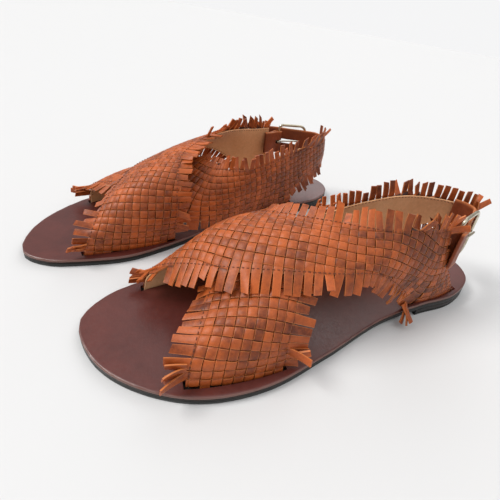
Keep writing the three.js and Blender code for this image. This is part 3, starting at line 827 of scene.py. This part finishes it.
    def tuft(self, s, t, strips):
        """Loose ends at a corner: for each, its direction, its length and how far it curls."""
        start = self.band.at(np.array([s]), np.array([t]), np.array([self.depth - self.swing]))[0]
        normal = self.band.normal(np.array([s]), np.array([t]))[0]
        for way, length, curl, slide in strips:
            out = unit(np.array(way, float))
            along = unit(np.cross(out, normal) + 0.35 * np.array([0, 0, 1.0]))
            across = unit(along - (along @ out) * out)
            lift = unit(np.cross(across, out))
            lift = lift if lift[2] > 0 else -lift
            base = start + across * slide
            rows = []
            for share in np.linspace(0, 1, 10):
                reach = share * length
                middle = base + out * reach + lift * curl * reach ** 2
                wide = self.half * (0.95 - 0.12 * share)
                turn = 0.5 * self.twist_of(slide, length) * share
                face = across * math.cos(turn) + lift * math.sin(turn)
                rows.append(middle + face * (ACROSS * wide)[:, None] - lift * CROWN[:, None])
            rows = above_ground(np.array(rows))
            tone = self.dice.uniform(0.5, 0.75)
            run = np.linspace(0, length / UV_LENGTH, len(rows))[:, None]
            uv = np.stack([run + 0 * ACROSS, ACROSS + 0 * run], -1)
            facing = np.broadcast_to(lift, rows.shape)
            self.shell.grid(rows, facing, uv, np.full(rows.shape[:2], tone))

    @staticmethod
    def twist_of(slide, length):
        """A fixed amount of twist for each loose end."""
        return math.sin(slide * 3.1 + length)

    def frayed(self, last, previous, normals, s0, spans):
        """Rows of points that carry a cross strip on past the edge, a little bent, turned and uneven."""
        values = [self.dice.uniform(-1, 1) for _ in range(7)]
        span = next((x for x in spans if x[0] <= s0 <= x[1]), None)
        if span is None:
            return None
        longest, curl = span[2:]
        length = min(self.fringe, longest) * (0.92 + 0.08 * values[0])
        if abs(values[6]) > 0.93:
            length *= 0.6
        centre = last.mean(axis=0)
        out = unit(centre - previous.mean(axis=0))
        normal = unit(normals.mean(axis=0))
        along = unit(last[-1] - last[0])
        bend = curl + 0.011 * values[1]
        sway = 0.05 * values[2] + (0.25 * values[3] if abs(values[5]) > 0.86 else 0)
        twist = 0.45 * values[4] * abs(values[4])
        rows = []
        for share in (0.12, 0.3, 0.5, 0.7, 0.86, 1.0):
            reach = share * length
            middle = centre + out * reach + normal * (bend * reach ** 2) + along * (sway * reach)
            turn = twist * share
            wide = 0.96 - 0.08 * share
            side = along * math.cos(turn) + normal * math.sin(turn)
            offset = ((last - centre) @ along) * wide
            dip = ((last - centre) @ normal) * (1 - 0.6 * share)
            slant = 0.5 * values[5] * share * out * (offset[:, None] / max(abs(offset).max(), 1e-6))
            rows.append(middle + side * offset[:, None] + normal * dip[:, None] + slant)
        return above_ground(np.array(rows))


STITCH_INSET = 1.6                  # from a band's edge to its stitches
STITCH_SHARE = 0.62                 # how much of the spacing a stitch fills


def edge_line(band, t, inset, depth, start, end, spacing):
    """Places along a long edge of a band, evenly spaced, at a distance from that edge."""
    s = np.linspace(start, end, 500)
    share = inset / band.width(s)
    line = band.at(s, share if t == 0 else 1 - share, np.full_like(s, depth))
    run = np.r_[0, np.cumsum(np.linalg.norm(np.diff(line, axis=0), axis=1))]
    marks = np.arange(spacing / 2, run[-1], spacing)
    return np.interp(marks, run, s)


def stitch(shell, start, end, normal, radius):
    """One stitch: a short round-ended dash that lies on the leather."""
    along = unit(end - start)
    side = unit(np.cross(along, normal))
    length = np.linalg.norm(end - start)
    rings = []
    for share, size, sink in ((0.0, 0.15, -1.2), (0.08, 0.8, -0.5), (0.3, 1.0, 0.0), (0.7, 1.0, 0.0),
                              (0.92, 0.8, -0.5), (1.0, 0.15, -1.2)):
        centre = start + along * length * share + normal * sink * radius
        angles = np.arange(6) * math.pi / 3
        rings.append([centre + (side * math.cos(a) + normal * math.sin(a)) * radius * size for a in angles])
    rings = np.array(rings)
    shell.grid(rings, rings - rings.mean(axis=1, keepdims=True), wrap=True)


def stitch_row(name, side, band, t, inset, span, spacing):
    """A row of stitches on the plait, and the same row showing on the lining."""
    shell = Shell()
    for depth, face, radius in ((0.06, 1, 0.24), (LINING_FROM + LINING_THICK, -1, 0.22)):
        marks = edge_line(band, t, inset, depth, span[0], span[1], spacing)
        step = np.interp(spacing * STITCH_SHARE, band.lengths, band.stations)
        share = inset / band.width(marks)
        t_mark = share if t == 0 else 1 - share
        a = band.at(marks, t_mark, np.full_like(marks, depth))
        s_end = np.clip(marks + step, 0, 1)
        share = inset / band.width(s_end)
        b = band.at(s_end, share if t == 0 else 1 - share, np.full_like(marks, depth))
        normals = band.normal(marks, t_mark) * face
        for p, q, n in zip(a, b, normals):
            stitch(shell, p, p + unit(q - p) * spacing * STITCH_SHARE, n, radius)
    return shell.build(f"{side}_{name}_thread", side)


# ------------------------------------------------------------------ sole
def sole_layer(name, side, top, bottom, start, end, rounding, lower_rounding=0.25, inset=0.0):
    """One layer of the sole with softened edges. top and bottom are heights at y."""
    steps = 130
    share = (1 - np.cos(np.pi * np.arange(steps + 1) / steps)) / 2
    ys = start + (end - start) * share
    near = np.array([0, 0.1, 0.3, 0.6, 1.0, 1.8, 3.5])
    rows = []
    for y in ys:
        left, right = sole_edges(y)
        left, right = left + inset, right - inset
        width = right - left
        scale = min(1.0, width / 14)
        middle = np.linspace(near[-1] * scale, width - near[-1] * scale, 14)[1:-1]
        rows.append(np.r_[left + near * scale, left + middle, right - near[::-1] * scale])
    xs = np.array(rows)
    yy = ys[:, None] + 0 * xs
    flat = np.stack([xs, yy], -1).reshape(-1, 2)
    away = np.empty(len(flat))
    for k in range(0, len(flat), 400):
        part = flat[k:k + 400]
        away[k:k + 400] = np.linalg.norm(part[:, None] - OUTLINE[None], axis=2).min(axis=1)
    away = away.reshape(xs.shape)
    away[:, 0] = away[:, -1] = 0

    def drop(radius):
        inner = np.clip(radius - away, 0, radius)
        return radius - np.sqrt(np.maximum(radius ** 2 - inner ** 2, 0))

    shell = Shell()
    upper = np.stack([xs, yy, top(yy) - drop(rounding)], -1)
    lower = np.stack([xs, yy, bottom(yy) + drop(lower_rounding)], -1)
    # The rim within 0.5 mm of the outline is marked in the UV map, where the footbed paints its highlight.
    rim_highlight_mask = np.where(away < 0.5, 1.0, 0.0)
    uv = np.stack([yy / UV_LENGTH, rim_highlight_mask], -1)
    a = shell.grid(upper, (0, 0, 1), uv)
    b = shell.grid(lower, (0, 0, -1), uv)
    walls = []
    for i in range(len(ys) - 1):
        walls.append((a[i, 0], b[i, 0], b[i + 1, 0], a[i + 1, 0])[::-1])
        walls.append((a[i, -1], a[i + 1, -1], b[i + 1, -1], b[i, -1])[::-1])
    for j in range(xs.shape[1] - 1):
        walls.append((a[0, j], a[0, j + 1], b[0, j + 1], b[0, j])[::-1])
        walls.append((a[-1, j], b[-1, j], b[-1, j + 1], a[-1, j + 1])[::-1])
    shell.quads(walls)
    piece = shell.build(name, side)
    face_outwards(piece)
    return piece


def slot_cutter(side, band, spans, edge_t, outward_x):
    """A closed block along the foot of a band, which cuts its slot in the footbed."""
    s = np.linspace(spans[0], spans[1], 24)
    if edge_t is None:
        line = band.face(np.zeros(24), np.linspace(0, 1, 24))
    else:
        line = band.face(s, np.full(24, float(edge_t)))
    along = unit(line[-1] - line[0])
    line = line + np.linspace(-1, 1, 24)[:, None] * along * 0.4
    near, far = 0.35, -(PLAIT_THICK + CLEAR + LINING_THICK) - 1.0
    ring = [(near, H + 6), (far, H + 6), (far, -2.0), (near, -2.0)]
    points = np.array([[(p[0] + outward_x * dx, p[1], z) for dx, z in ring] for p in line])
    shell = Shell()
    index = shell.grid(points, points - points.mean(axis=1, keepdims=True), wrap=True)
    shell.quads([index[0, :4], index[-1, :4][::-1]])
    cutter = shell.build(f"{side}_slot_cutter", side)
    face_outwards(cutter)
    return cutter


def cut_slots(piece, side):
    places = [
        (OVER, (0, 0), None, -1),
        (OVER, (0.785, 1), 0, 1),
        (UNDER, (0, 0), None, 1),
        (UNDER, (0.621, 0.736), 0, -1),
    ]
    for band, spans, edge_t, outward_x in places:
        cutter = slot_cutter(side, band, spans, edge_t, outward_x)
        select_only(piece)
        bpy.ops.object.modifier_add(type="BOOLEAN")
        cut = piece.modifiers[-1]
        cut.operation = "DIFFERENCE"
        cut.object = cutter
        bpy.ops.object.modifier_apply(modifier=cut.name)
        bpy.data.objects.remove(cutter)


# ------------------------------------------------------------------ buckle and straps
def buckle_at(forward, out, up=0.0):
    return BUCKLE_CENTRE + BUCKLE_HEADING * forward + BUCKLE_OUT * out + np.array([0, 0, up])


def tube(shell, path, radius, sides=16, closed=False):
    """A round bar along a row of points."""
    path = np.asarray(path, float)
    if closed:
        tangent = unit(np.roll(path, -1, 0) - np.roll(path, 1, 0))
    else:
        tangent = unit(np.gradient(path, axis=0))
    side = BUCKLE_OUT + 0 * tangent
    side = unit(side - (side * tangent).sum(-1, keepdims=True) * tangent)
    other = np.cross(tangent, side)
    angle = np.arange(sides) * 2 * math.pi / sides
    radius = np.broadcast_to(radius, (len(path),))[:, None, None]
    ring = path[:, None] + radius * (side[:, None] * np.cos(angle)[:, None]
                                     + other[:, None] * np.sin(angle)[:, None])
    if closed:
        ring = np.concatenate([ring, ring[:1]])
        path = np.concatenate([path, path[:1]])
    shell.grid(ring, ring - path[:, None], wrap=True)


def rounded_frame():
    """Centre line of the buckle's wire: a rounded rectangle, tighter at the front."""
    high = BUCKLE_HEIGHT / 2 - WIRE_RADIUS
    rows = []
    for cx, cz, r, start in (
            (END_WIRE - FRONT_CORNER, high - FRONT_CORNER, FRONT_CORNER, 0),
            (-END_WIRE + REAR_CORNER, high - REAR_CORNER, REAR_CORNER, 90),
            (-END_WIRE + REAR_CORNER, -high + REAR_CORNER, REAR_CORNER, 180),
            (END_WIRE - FRONT_CORNER, -high + FRONT_CORNER, FRONT_CORNER, 270)):
        for step in range(9):
            a = math.radians(start + 90 * step / 8)
            rows.append(buckle_at(cx + r * math.cos(a), 0, cz + r * math.sin(a)))
    rows = np.array(rows)
    filled = []
    for p, q in zip(rows, np.roll(rows, -1, 0)):
        parts = max(1, int(np.linalg.norm(q - p) / 1.5))
        filled += [p + (q - p) * k / parts for k in range(parts)]
    return np.array(filled)


def prong_path():
    loop = [buckle_at(END_WIRE + PRONG_LOOP * math.cos(a), PRONG_LOOP * math.sin(a))
            for a in np.linspace(math.radians(150), math.radians(-176), 22)]
    tip = buckle_at(-END_WIRE - WIRE_RADIUS - 0.6, WIRE_RADIUS + PRONG_RADIUS + CLEAR)
    knee = buckle_at(END_WIRE - PRONG_LOOP - 4, 0.9)
    rod = centripetal([loop[-1], knee, buckle_at(0, 1.9), buckle_at(-END_WIRE + 3, 2.35), tip], False, 7)
    return np.array(loop + rod[1:].tolist())


def leather_strip(path, height, wave, seed, steps_up=13):
    """An upright strip along a path seen from above: distances along it, points and sideways directions."""
    run = np.r_[0, np.cumsum(np.linalg.norm(np.diff(path, axis=0), axis=1))]
    marks = np.linspace(0, run[-1], max(24, int(run[-1] / 1.2)))
    centre = np.stack([np.interp(marks, run, path[:, k]) for k in range(3)], -1)
    tangent = unit(np.gradient(centre, axis=0))
    side = unit(np.stack([tangent[:, 1], -tangent[:, 0], 0 * tangent[:, 0]], -1))
    v = np.linspace(-1, 1, steps_up)
    points = centre[:, None] + np.array([0, 0, 1]) * (v * height / 2)[None, :, None]
    ripple = wave * np.sin(marks[:, None] / 4.3 + v * 1.4 + seed) * np.abs(v) ** 2
    points = points + side[:, None] * ripple[..., None]
    return marks, points, side


def strap_path():
    inside = WIRE_RADIUS + CLEAR + STRAP_THICK / 2
    over = PRONG_LOOP + PRONG_RADIUS + CLEAR + STRAP_THICK / 2
    level = BUCKLE_CENTRE[2]
    points = [(x, y, level) for x, y in STRAP_START]
    points += [buckle_at(-END_WIRE, -inside), buckle_at(2, 0.6), buckle_at(END_WIRE, over)]
    points += [(x, y, level) for x, y in STRAP_END]
    return centripetal(points, False, 16)


def tab_path():
    middle = WIRE_RADIUS + CLEAR + TAB_THICK / 2
    fold = [buckle_at(END_WIRE + middle * math.cos(a), middle * math.sin(a))
            for a in np.linspace(math.pi / 2, 3 * math.pi / 2, 9)]
    spacing = (TAB_THICK + CLEAR) / 2
    level = BUCKLE_CENTRE[2]

    def leg(way, more):
        return (TAB_END[0] + way * spacing, TAB_END[1] + more, level)
    points = [leg(1, 0), leg(1, 6), buckle_at(END_WIRE + 2.5, middle)] + fold
    points += [buckle_at(END_WIRE + 2.5, -middle), leg(-1, 6), leg(-1, 0)]
    return centripetal(points, False, 10)


def strip_piece(name, side, path, height, thick, cut_test, wave, seed):
    """A strap with a slot where the prong goes through, as a sheet that is then given its thickness."""
    marks, points, sideways = leather_strip(path, height, wave, seed)
    uv = np.stack([marks[:, None] / UV_LENGTH + 0 * points[..., 0],
                   np.linspace(-1, 1, points.shape[1]) + 0 * points[..., 0]], -1)
    shell = Shell()
    shell.grid(points, sideways[:, None] + 0 * points, uv)
    faces = shell.faces[0]
    centres = shell.points[0][faces].mean(axis=1)
    shell.faces[0] = faces[~cut_test(centres)]
    piece = shell.build(name, side)
    thicken(piece, thick)
    select_only(piece)
    bpy.ops.object.modifier_add(type="BEVEL")
    soft = piece.modifiers[-1]
    soft.width = 0.22 * MM
    soft.segments = 2
    soft.limit_method = "ANGLE"
    soft.angle_limit = math.radians(50)
    bpy.ops.object.modifier_apply(modifier=soft.name)
    return piece


def in_prong_slot(start, end, half_height):
    def test(points):
        away = points - BUCKLE_CENTRE
        forward = away @ BUCKLE_HEADING
        return (forward > start) & (forward < end) & (np.abs(away[:, 2]) < half_height)
    return test


# ------------------------------------------------------------------ settings
class SandalPlait(bpy.types.PropertyGroup):
    """Sizes of the plaited bands."""
    strip_pitch: bpy.props.FloatProperty(
        name="Strip pitch", description="From one strip to the next, in millimetres",
        default=5.0, min=2, max=12)
    strip_fill: bpy.props.FloatProperty(
        name="Strip width", description="Share of the pitch that a strip fills", default=0.83,
        min=0.5, max=1, subtype="FACTOR")
    strip_thickness: bpy.props.FloatProperty(
        name="Strip thickness", description="Thickness of one strip, in millimetres",
        default=0.85, min=0.3, max=2)
    weave_swing: bpy.props.FloatProperty(
        name="Weave height", description="How far a strip rises and dips, in millimetres", default=0.6,
        min=0.1, max=1)
    fringe_length: bpy.props.FloatProperty(
        name="Fringe length", description="How far the cross strips run past the edge, in millimetres",
        default=11.0, min=0, max=20)
    stitch_spacing: bpy.props.FloatProperty(
        name="Stitch spacing", description="From one stitch to the next, in millimetres", default=2.5,
        min=1, max=6)


class SandalFinishes(bpy.types.PropertyGroup):
    """Colours a user would change."""
    wire: bpy.props.FloatVectorProperty(
        name="Wire", description="Colour of the buckles", subtype="COLOR", size=3,
        default=srgb(214, 208, 190)[:3], min=0, max=1)
    floor: bpy.props.FloatVectorProperty(
        name="Floor", description="Colour of the studio floor", subtype="COLOR", size=3,
        default=(0.725, 0.728, 0.735), min=0, max=1)


# ------------------------------------------------------------------ operators
class SANDAL_OT_soles(bpy.types.Operator):
    """Build the footbeds, outsoles and heels"""
    bl_idname = "sandal.soles"
    bl_label = "Soles"

    def execute(self, context):
        midsole_top = -FOOTBED_THICK - LAYER_GAP
        outsole_top = midsole_top - MIDSOLE_THICK - LAYER_GAP
        full = (-HALF_LENGTH + SOLE_END_GAP, HALF_LENGTH - SOLE_END_GAP)
        heel = (HEEL_FRONT, HALF_LENGTH - SOLE_END_GAP)
        for side in SIDES:
            footbed = sole_layer(f"{side}_footbed_leather", side, footbed_height,
                                 lambda y: footbed_height(y) - FOOTBED_THICK, *full, 0.8)
            cut_slots(footbed, side)
            finish_piece(footbed, side, finish("footbed"), ["footbed"], angle=35)
            outsole = sole_layer(f"{side}_outsole_layer", side, lambda y: footbed_height(y) + outsole_top,
                                 lambda y: footbed_height(y) - F, *full, 0.3, 0.45)
            finish_piece(outsole, side, finish("outsole"), ["outsole"], angle=35)
            lift = sole_layer(f"{side}_heel_stack", side, lambda y: footbed_height(y) - F - LAYER_GAP,
                              lambda y: TOP_PIECE_THICK + LAYER_GAP + 0 * y, *heel, 0.2)
            finish_piece(lift, side, finish("heel"), ["heel_lift"], angle=35)
            top_piece = sole_layer(f"{side}_heel_rubber", side, lambda y: TOP_PIECE_THICK + 0 * y,
                                   lambda y: 0 * y, *heel, 0.2, 0.35)
            finish_piece(top_piece, side, finish("top_piece"), ["heel_top_piece"], angle=35)
            for name in ("midsole", "shank", "heel_nail_1", "heel_nail_2", "heel_nail_3"):
                kept = frame["nodes"][f"{side}_{name}"]
                kept.data.materials.clear()
                kept.data.materials.append(finish("midsole" if name == "midsole" else "steel"))
        return {"FINISHED"}


# Where the fringe shows: from and to along the band, its greatest length there and how it curls.
OVER_FRONT_FRINGE = [(0.02, 0.10, 9.0, 0.02), (0.10, 0.70, 20.0, -0.008), (0.70, 0.76, 6.0, 0.01)]
OVER_REAR_FRINGE = [(0.02, 0.30, 9.0, 0.002), (0.30, 0.98, 10.5, 0.006)]
UNDER_FRONT_FRINGE = [(0.03, 0.16, 10.0, 0.01), (0.16, 0.34, 9.0, 0.0), (0.34, 0.52, 4.5, 0.01),
                      (0.52, 0.60, 3.5, 0.01), (0.76, 0.99, 9.0, 0.01)]
UNDER_REAR_FRINGE = [(0.02, 0.14, 10.0, 0.008), (0.14, 0.42, 7.0, -0.01), (0.42, 0.99, 10.0, 0.01)]


TUFTS = {
    "over_band": (
        (0.05, 0.0, (((-0.45, -0.9, 0.3), 8, 0.02, -2.2), ((-0.25, -0.95, 0.1), 7, 0.05, 0.0),
                     ((-0.7, -0.6, 0.25), 6, 0.03, 2.0))),
        (0.765, 0.0, (((0.75, -0.5, -0.55), 13, -0.012, -2.5), ((0.85, -0.15, -0.75), 14, -0.01, 0.5),
                      ((0.8, 0.25, -0.8), 12, 0.0, 3.2))),
        (0.975, 1.0, (((0.0, 0.75, 0.6), 10, 0.01, -1.5), ((0.3, 0.85, 0.35), 10, 0.02, 1.5))),
    ),
    "under_band": (
        (0.05, 0.0, (((0.35, -0.9, 0.1), 12, 0.012, -1.0), ((0.0, -1.0, 0.2), 10, 0.03, 1.5),
                     ((-0.3, -0.9, 0.12), 9, 0.01, 3.5))),
        (0.05, 1.0, (((0.75, 0.65, 0.12), 12, 0.012, -1.0), ((0.35, 0.9, 0.3), 10, 0.0, 2.0))),
        (0.975, 1.0, (((0.0, 0.9, 0.4), 12, 0.01, -1.0), ((-0.2, 0.75, 0.55), 10, 0.02, 1.5))),
    ),
}


class SANDAL_OT_bands(bpy.types.Operator):
    """Plait the two bands of each shoe, with their fringes"""
    bl_idname = "sandal.bands"
    bl_label = "Plaited bands"

    def execute(self, context):
        sizes = context.scene.sandal_plait
        for side in SIDES:
            for name, band, front, rear, seed in (
                    ("over_band", OVER, OVER_FRONT_FRINGE, OVER_REAR_FRINGE, 11),
                    ("under_band", UNDER, UNDER_FRONT_FRINGE, UNDER_REAR_FRINGE, 23)):
                weave = Weave(band, sizes, seed + (100 if side == "right" else 0))
                weave.rows()
                weave.crosses(front, rear)
                for place in TUFTS[name]:
                    weave.tuft(*place)
                piece = weave.shell.build(f"{side}_{name}_plait", side)
                thicken(piece, sizes.strip_thickness)
                finish_piece(piece, side, finish("plait"), [name])
        return {"FINISHED"}


class SANDAL_OT_linings(bpy.types.Operator):
    """Line the bands with suede"""
    bl_idname = "sandal.linings"
    bl_label = "Suede linings"

    def execute(self, context):
        for side in SIDES:
            for name, band in (("over_band", OVER), ("under_band", UNDER)):
                s = np.linspace(0, 1, 150)[:, None]
                t = np.linspace(0, 1, 25)[None, :]
                margin = 0.4 / band.width(s)
                t = margin + (1 - 2 * margin) * t
                s = s + 0 * t
                middle = LINING_FROM + LINING_THICK / 2
                points = band.at(s, t, np.full(s.shape, middle))
                shell = Shell()
                uv = np.stack([s * band.length / UV_LENGTH, 2 * t - 1], -1)
                shell.grid(points, band.normal(s, t), uv)
                piece = shell.build(f"{side}_{name}_suede", side)
                thicken(piece, LINING_THICK)
                finish_piece(piece, side, finish("lining"), [f"{name}_lining"])
        return {"FINISHED"}


class SANDAL_OT_stitching(bpy.types.Operator):
    """Sew the long edges of the bands"""
    bl_idname = "sandal.stitching"
    bl_label = "Stitching"

    def execute(self, context):
        spacing = context.scene.sandal_plait.stitch_spacing
        rows = (
            ("over_band_front_stitching", OVER, 0, (0.04, 0.74)),
            ("over_band_rear_stitching", OVER, 1, (0.03, 0.99)),
            ("under_band_front_stitching", UNDER, 0, (0.03, 0.30)),
            ("under_band_rear_stitching", UNDER, 1, (0.42, 0.99)),
        )
        for side in SIDES:
            for name, band, t, span in rows:
                piece = stitch_row(name, side, band, t, STITCH_INSET, span, spacing)
                finish_piece(piece, side, finish("thread"), [name])
        return {"FINISHED"}


class SANDAL_OT_straps(bpy.types.Operator):
    """Make the heel straps and the tabs that hold the buckles"""
    bl_idname = "sandal.straps"
    bl_label = "Heel straps"

    def execute(self, context):
        reach = PRONG_LOOP + PRONG_RADIUS + 0.4
        for side in SIDES:
            strap = strip_piece(f"{side}_heel_strap_leather", side, strap_path(), STRAP_HEIGHT, STRAP_THICK,
                                in_prong_slot(-END_WIRE / 2, END_WIRE + 1, PRONG_SLOT_HALF), 0.25, 2)
            finish_piece(strap, side, finish("strap"), ["heel_strap"], angle=40)
            tab = strip_piece(f"{side}_buckle_tab_leather", side, tab_path(), TAB_HEIGHT, TAB_THICK,
                              in_prong_slot(END_WIRE - reach, END_WIRE + reach, PRONG_SLOT_HALF), 0.1, 5)
            finish_piece(tab, side, finish("strap"), ["buckle_tab"], angle=40)
        return {"FINISHED"}


class SANDAL_OT_buckles(bpy.types.Operator):
    """Bend the wire buckles and their prongs"""
    bl_idname = "sandal.buckles"
    bl_label = "Buckles"

    def execute(self, context):
        for side in SIDES:
            shell = Shell()
            tube(shell, rounded_frame(), WIRE_RADIUS, closed=True)
            piece = shell.build(f"{side}_buckle_wire", side)
            weld(piece)
            finish_piece(piece, side, finish("wire"), ["buckle_frame"], f"{side}_buckle_frame")
            shell = Shell()
            path = prong_path()
            radius = np.full(len(path), PRONG_RADIUS)
            radius[0] = radius[-1] = 0.05
            radius[-2] = PRONG_RADIUS * 0.8
            tube(shell, path, radius, sides=12)
            piece = shell.build(f"{side}_prong_wire", side)
            weld(piece)
            finish_piece(piece, side, finish("wire"), ["buckle_prong"], f"{side}_buckle_prong")
        return {"FINISHED"}


def weld(piece):
    """Merge the points where a tube meets itself and close its ends."""
    select_only(piece)
    bpy.ops.object.mode_set(mode="EDIT")
    bpy.ops.mesh.select_all(action="SELECT")
    bpy.ops.mesh.remove_doubles(threshold=0.02 * MM)
    bpy.ops.mesh.select_all(action="DESELECT")
    bpy.ops.mesh.select_non_manifold(extend=False)
    bpy.ops.mesh.edge_face_add()
    bpy.ops.mesh.select_all(action="SELECT")
    bpy.ops.mesh.normals_make_consistent(inside=False)
    bpy.ops.object.mode_set(mode="OBJECT")


CAMERA_PLACE = Vector((194.18, -72.98, 151.43)) * MM
CAMERA_YAW = math.radians(152.154)
CAMERA_PITCH = math.radians(29.38)
CAMERA_ROLL = math.radians(9.912)
CAMERA_LENS = 24.45
CAMERA_SHIFT = (-0.0898, -0.0718)


class SANDAL_OT_stage(bpy.types.Operator):
    """Lay the floor and set the camera and the studio lights"""
    bl_idname = "sandal.stage"
    bl_label = "Stage"

    def execute(self, context):
        bpy.ops.object.select_all(action="DESELECT")
        bpy.ops.mesh.primitive_circle_add(
            vertices=96, radius=30.0, fill_type="NGON", location=(0, 0, -0.0002))
        floor = context.active_object
        floor.name = "studio_floor"
        floor.data.materials.append(floor_material(tuple(context.scene.sandal_finishes.floor) + (1.0,)))
        self.camera(context)
        self.lights(context)
        return {"FINISHED"}

    def camera(self, context):
        yaw, pitch, roll = CAMERA_YAW, CAMERA_PITCH, CAMERA_ROLL
        forward = Vector((math.cos(yaw) * math.cos(pitch), math.sin(yaw) * math.cos(pitch), -math.sin(pitch)))
        level = Vector((math.sin(yaw), -math.cos(yaw), 0))
        up = level.cross(forward)
        right = level * math.cos(roll) + up * math.sin(roll)
        over = up * math.cos(roll) - level * math.sin(roll)
        bpy.ops.object.camera_add(location=CAMERA_PLACE)
        camera = context.active_object
        camera.matrix_world = Matrix((
            (right.x, over.x, -forward.x, CAMERA_PLACE.x),
            (right.y, over.y, -forward.y, CAMERA_PLACE.y),
            (right.z, over.z, -forward.z, CAMERA_PLACE.z),
            (0, 0, 0, 1)))
        camera.data.lens = CAMERA_LENS
        camera.data.shift_x, camera.data.shift_y = CAMERA_SHIFT
        camera.data.clip_start = 0.01
        camera.data.clip_end = 50
        context.scene.camera = camera

    def lights(self, context):
        for name, place, spread, power, colour in (
                ("Key", (-0.35, -0.9, 1.1), 26, 2.1, (1.0, 0.985, 0.96)),
                ("Top", (0.25, 0.35, 1.5), 60, 0.4, (1.0, 1.0, 1.0)),
                ("Fill", (0.9, 0.3, 1.0), 60, 0.35, (1.0, 0.99, 0.97)),
                ("Rim", (-0.9, 0.5, 0.75), 45, 0.7, (1.0, 1.0, 1.0))):
            bpy.ops.object.light_add(type="SUN", location=place)
            lamp = context.active_object
            lamp.name = name
            lamp.data.angle = math.radians(spread)
            lamp.data.energy = power
            lamp.data.color = colour
            lamp.rotation_euler = (-Vector(place)).to_track_quat("-Z", "Y").to_euler()
        world = context.scene.world or bpy.data.worlds.new("Studio")
        context.scene.world = world
        world.use_nodes = True
        tree = world.node_tree
        backdrop = tree.nodes["Background"]
        backdrop.inputs["Color"].default_value = (0.915, 0.915, 0.92, 1.0)
        room = node(tree, "ShaderNodeBackground", Color=(1.0, 1.0, 1.0, 1.0), Strength=0.45)
        path = node(tree, "ShaderNodeLightPath")
        either = node(tree, "ShaderNodeMixShader")
        tree.links.new(path.outputs["Is Camera Ray"], either.inputs[0])
        tree.links.new(room.outputs[0], either.inputs[1])
        tree.links.new(backdrop.outputs[0], either.inputs[2])
        tree.links.new(either.outputs[0], tree.nodes["World Output"].inputs["Surface"])
        context.scene.view_settings.view_transform = "Standard"


class SANDAL_PT_panel(bpy.types.Panel):
    """Lists the steps that build the sandals."""
    bl_label = "Plaited sandals"
    bl_idname = "SANDAL_PT_panel"
    bl_space_type = "VIEW_3D"
    bl_region_type = "UI"
    bl_category = "Sandals"

    def draw(self, context):
        column = self.layout.column()
        for settings in (context.scene.sandal_plait, context.scene.sandal_finishes):
            for key in settings.bl_rna.properties.keys():
                if key not in ("rna_type", "name"):
                    column.prop(settings, key)
        for step in STEPS:
            column.operator(step.bl_idname)


STEPS = (
    SANDAL_OT_soles, SANDAL_OT_bands, SANDAL_OT_linings, SANDAL_OT_stitching, SANDAL_OT_straps,
    SANDAL_OT_buckles, SANDAL_OT_stage,
)
CLASSES = (SandalPlait, SandalFinishes) + STEPS + (SANDAL_PT_panel,)


def register():
    for item in CLASSES:
        bpy.utils.register_class(item)
    bpy.types.Scene.sandal_plait = bpy.props.PointerProperty(type=SandalPlait)
    bpy.types.Scene.sandal_finishes = bpy.props.PointerProperty(type=SandalFinishes)


def unregister():
    del bpy.types.Scene.sandal_finishes
    del bpy.types.Scene.sandal_plait
    for item in reversed(CLASSES):
        bpy.utils.unregister_class(item)


def main():
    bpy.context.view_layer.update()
    register()
    bpy.ops.sandal.soles()
    bpy.ops.sandal.bands()
    bpy.ops.sandal.linings()
    bpy.ops.sandal.stitching()
    bpy.ops.sandal.straps()
    bpy.ops.sandal.buckles()
    bpy.ops.sandal.stage()


if __name__ == "__main__":
    main()
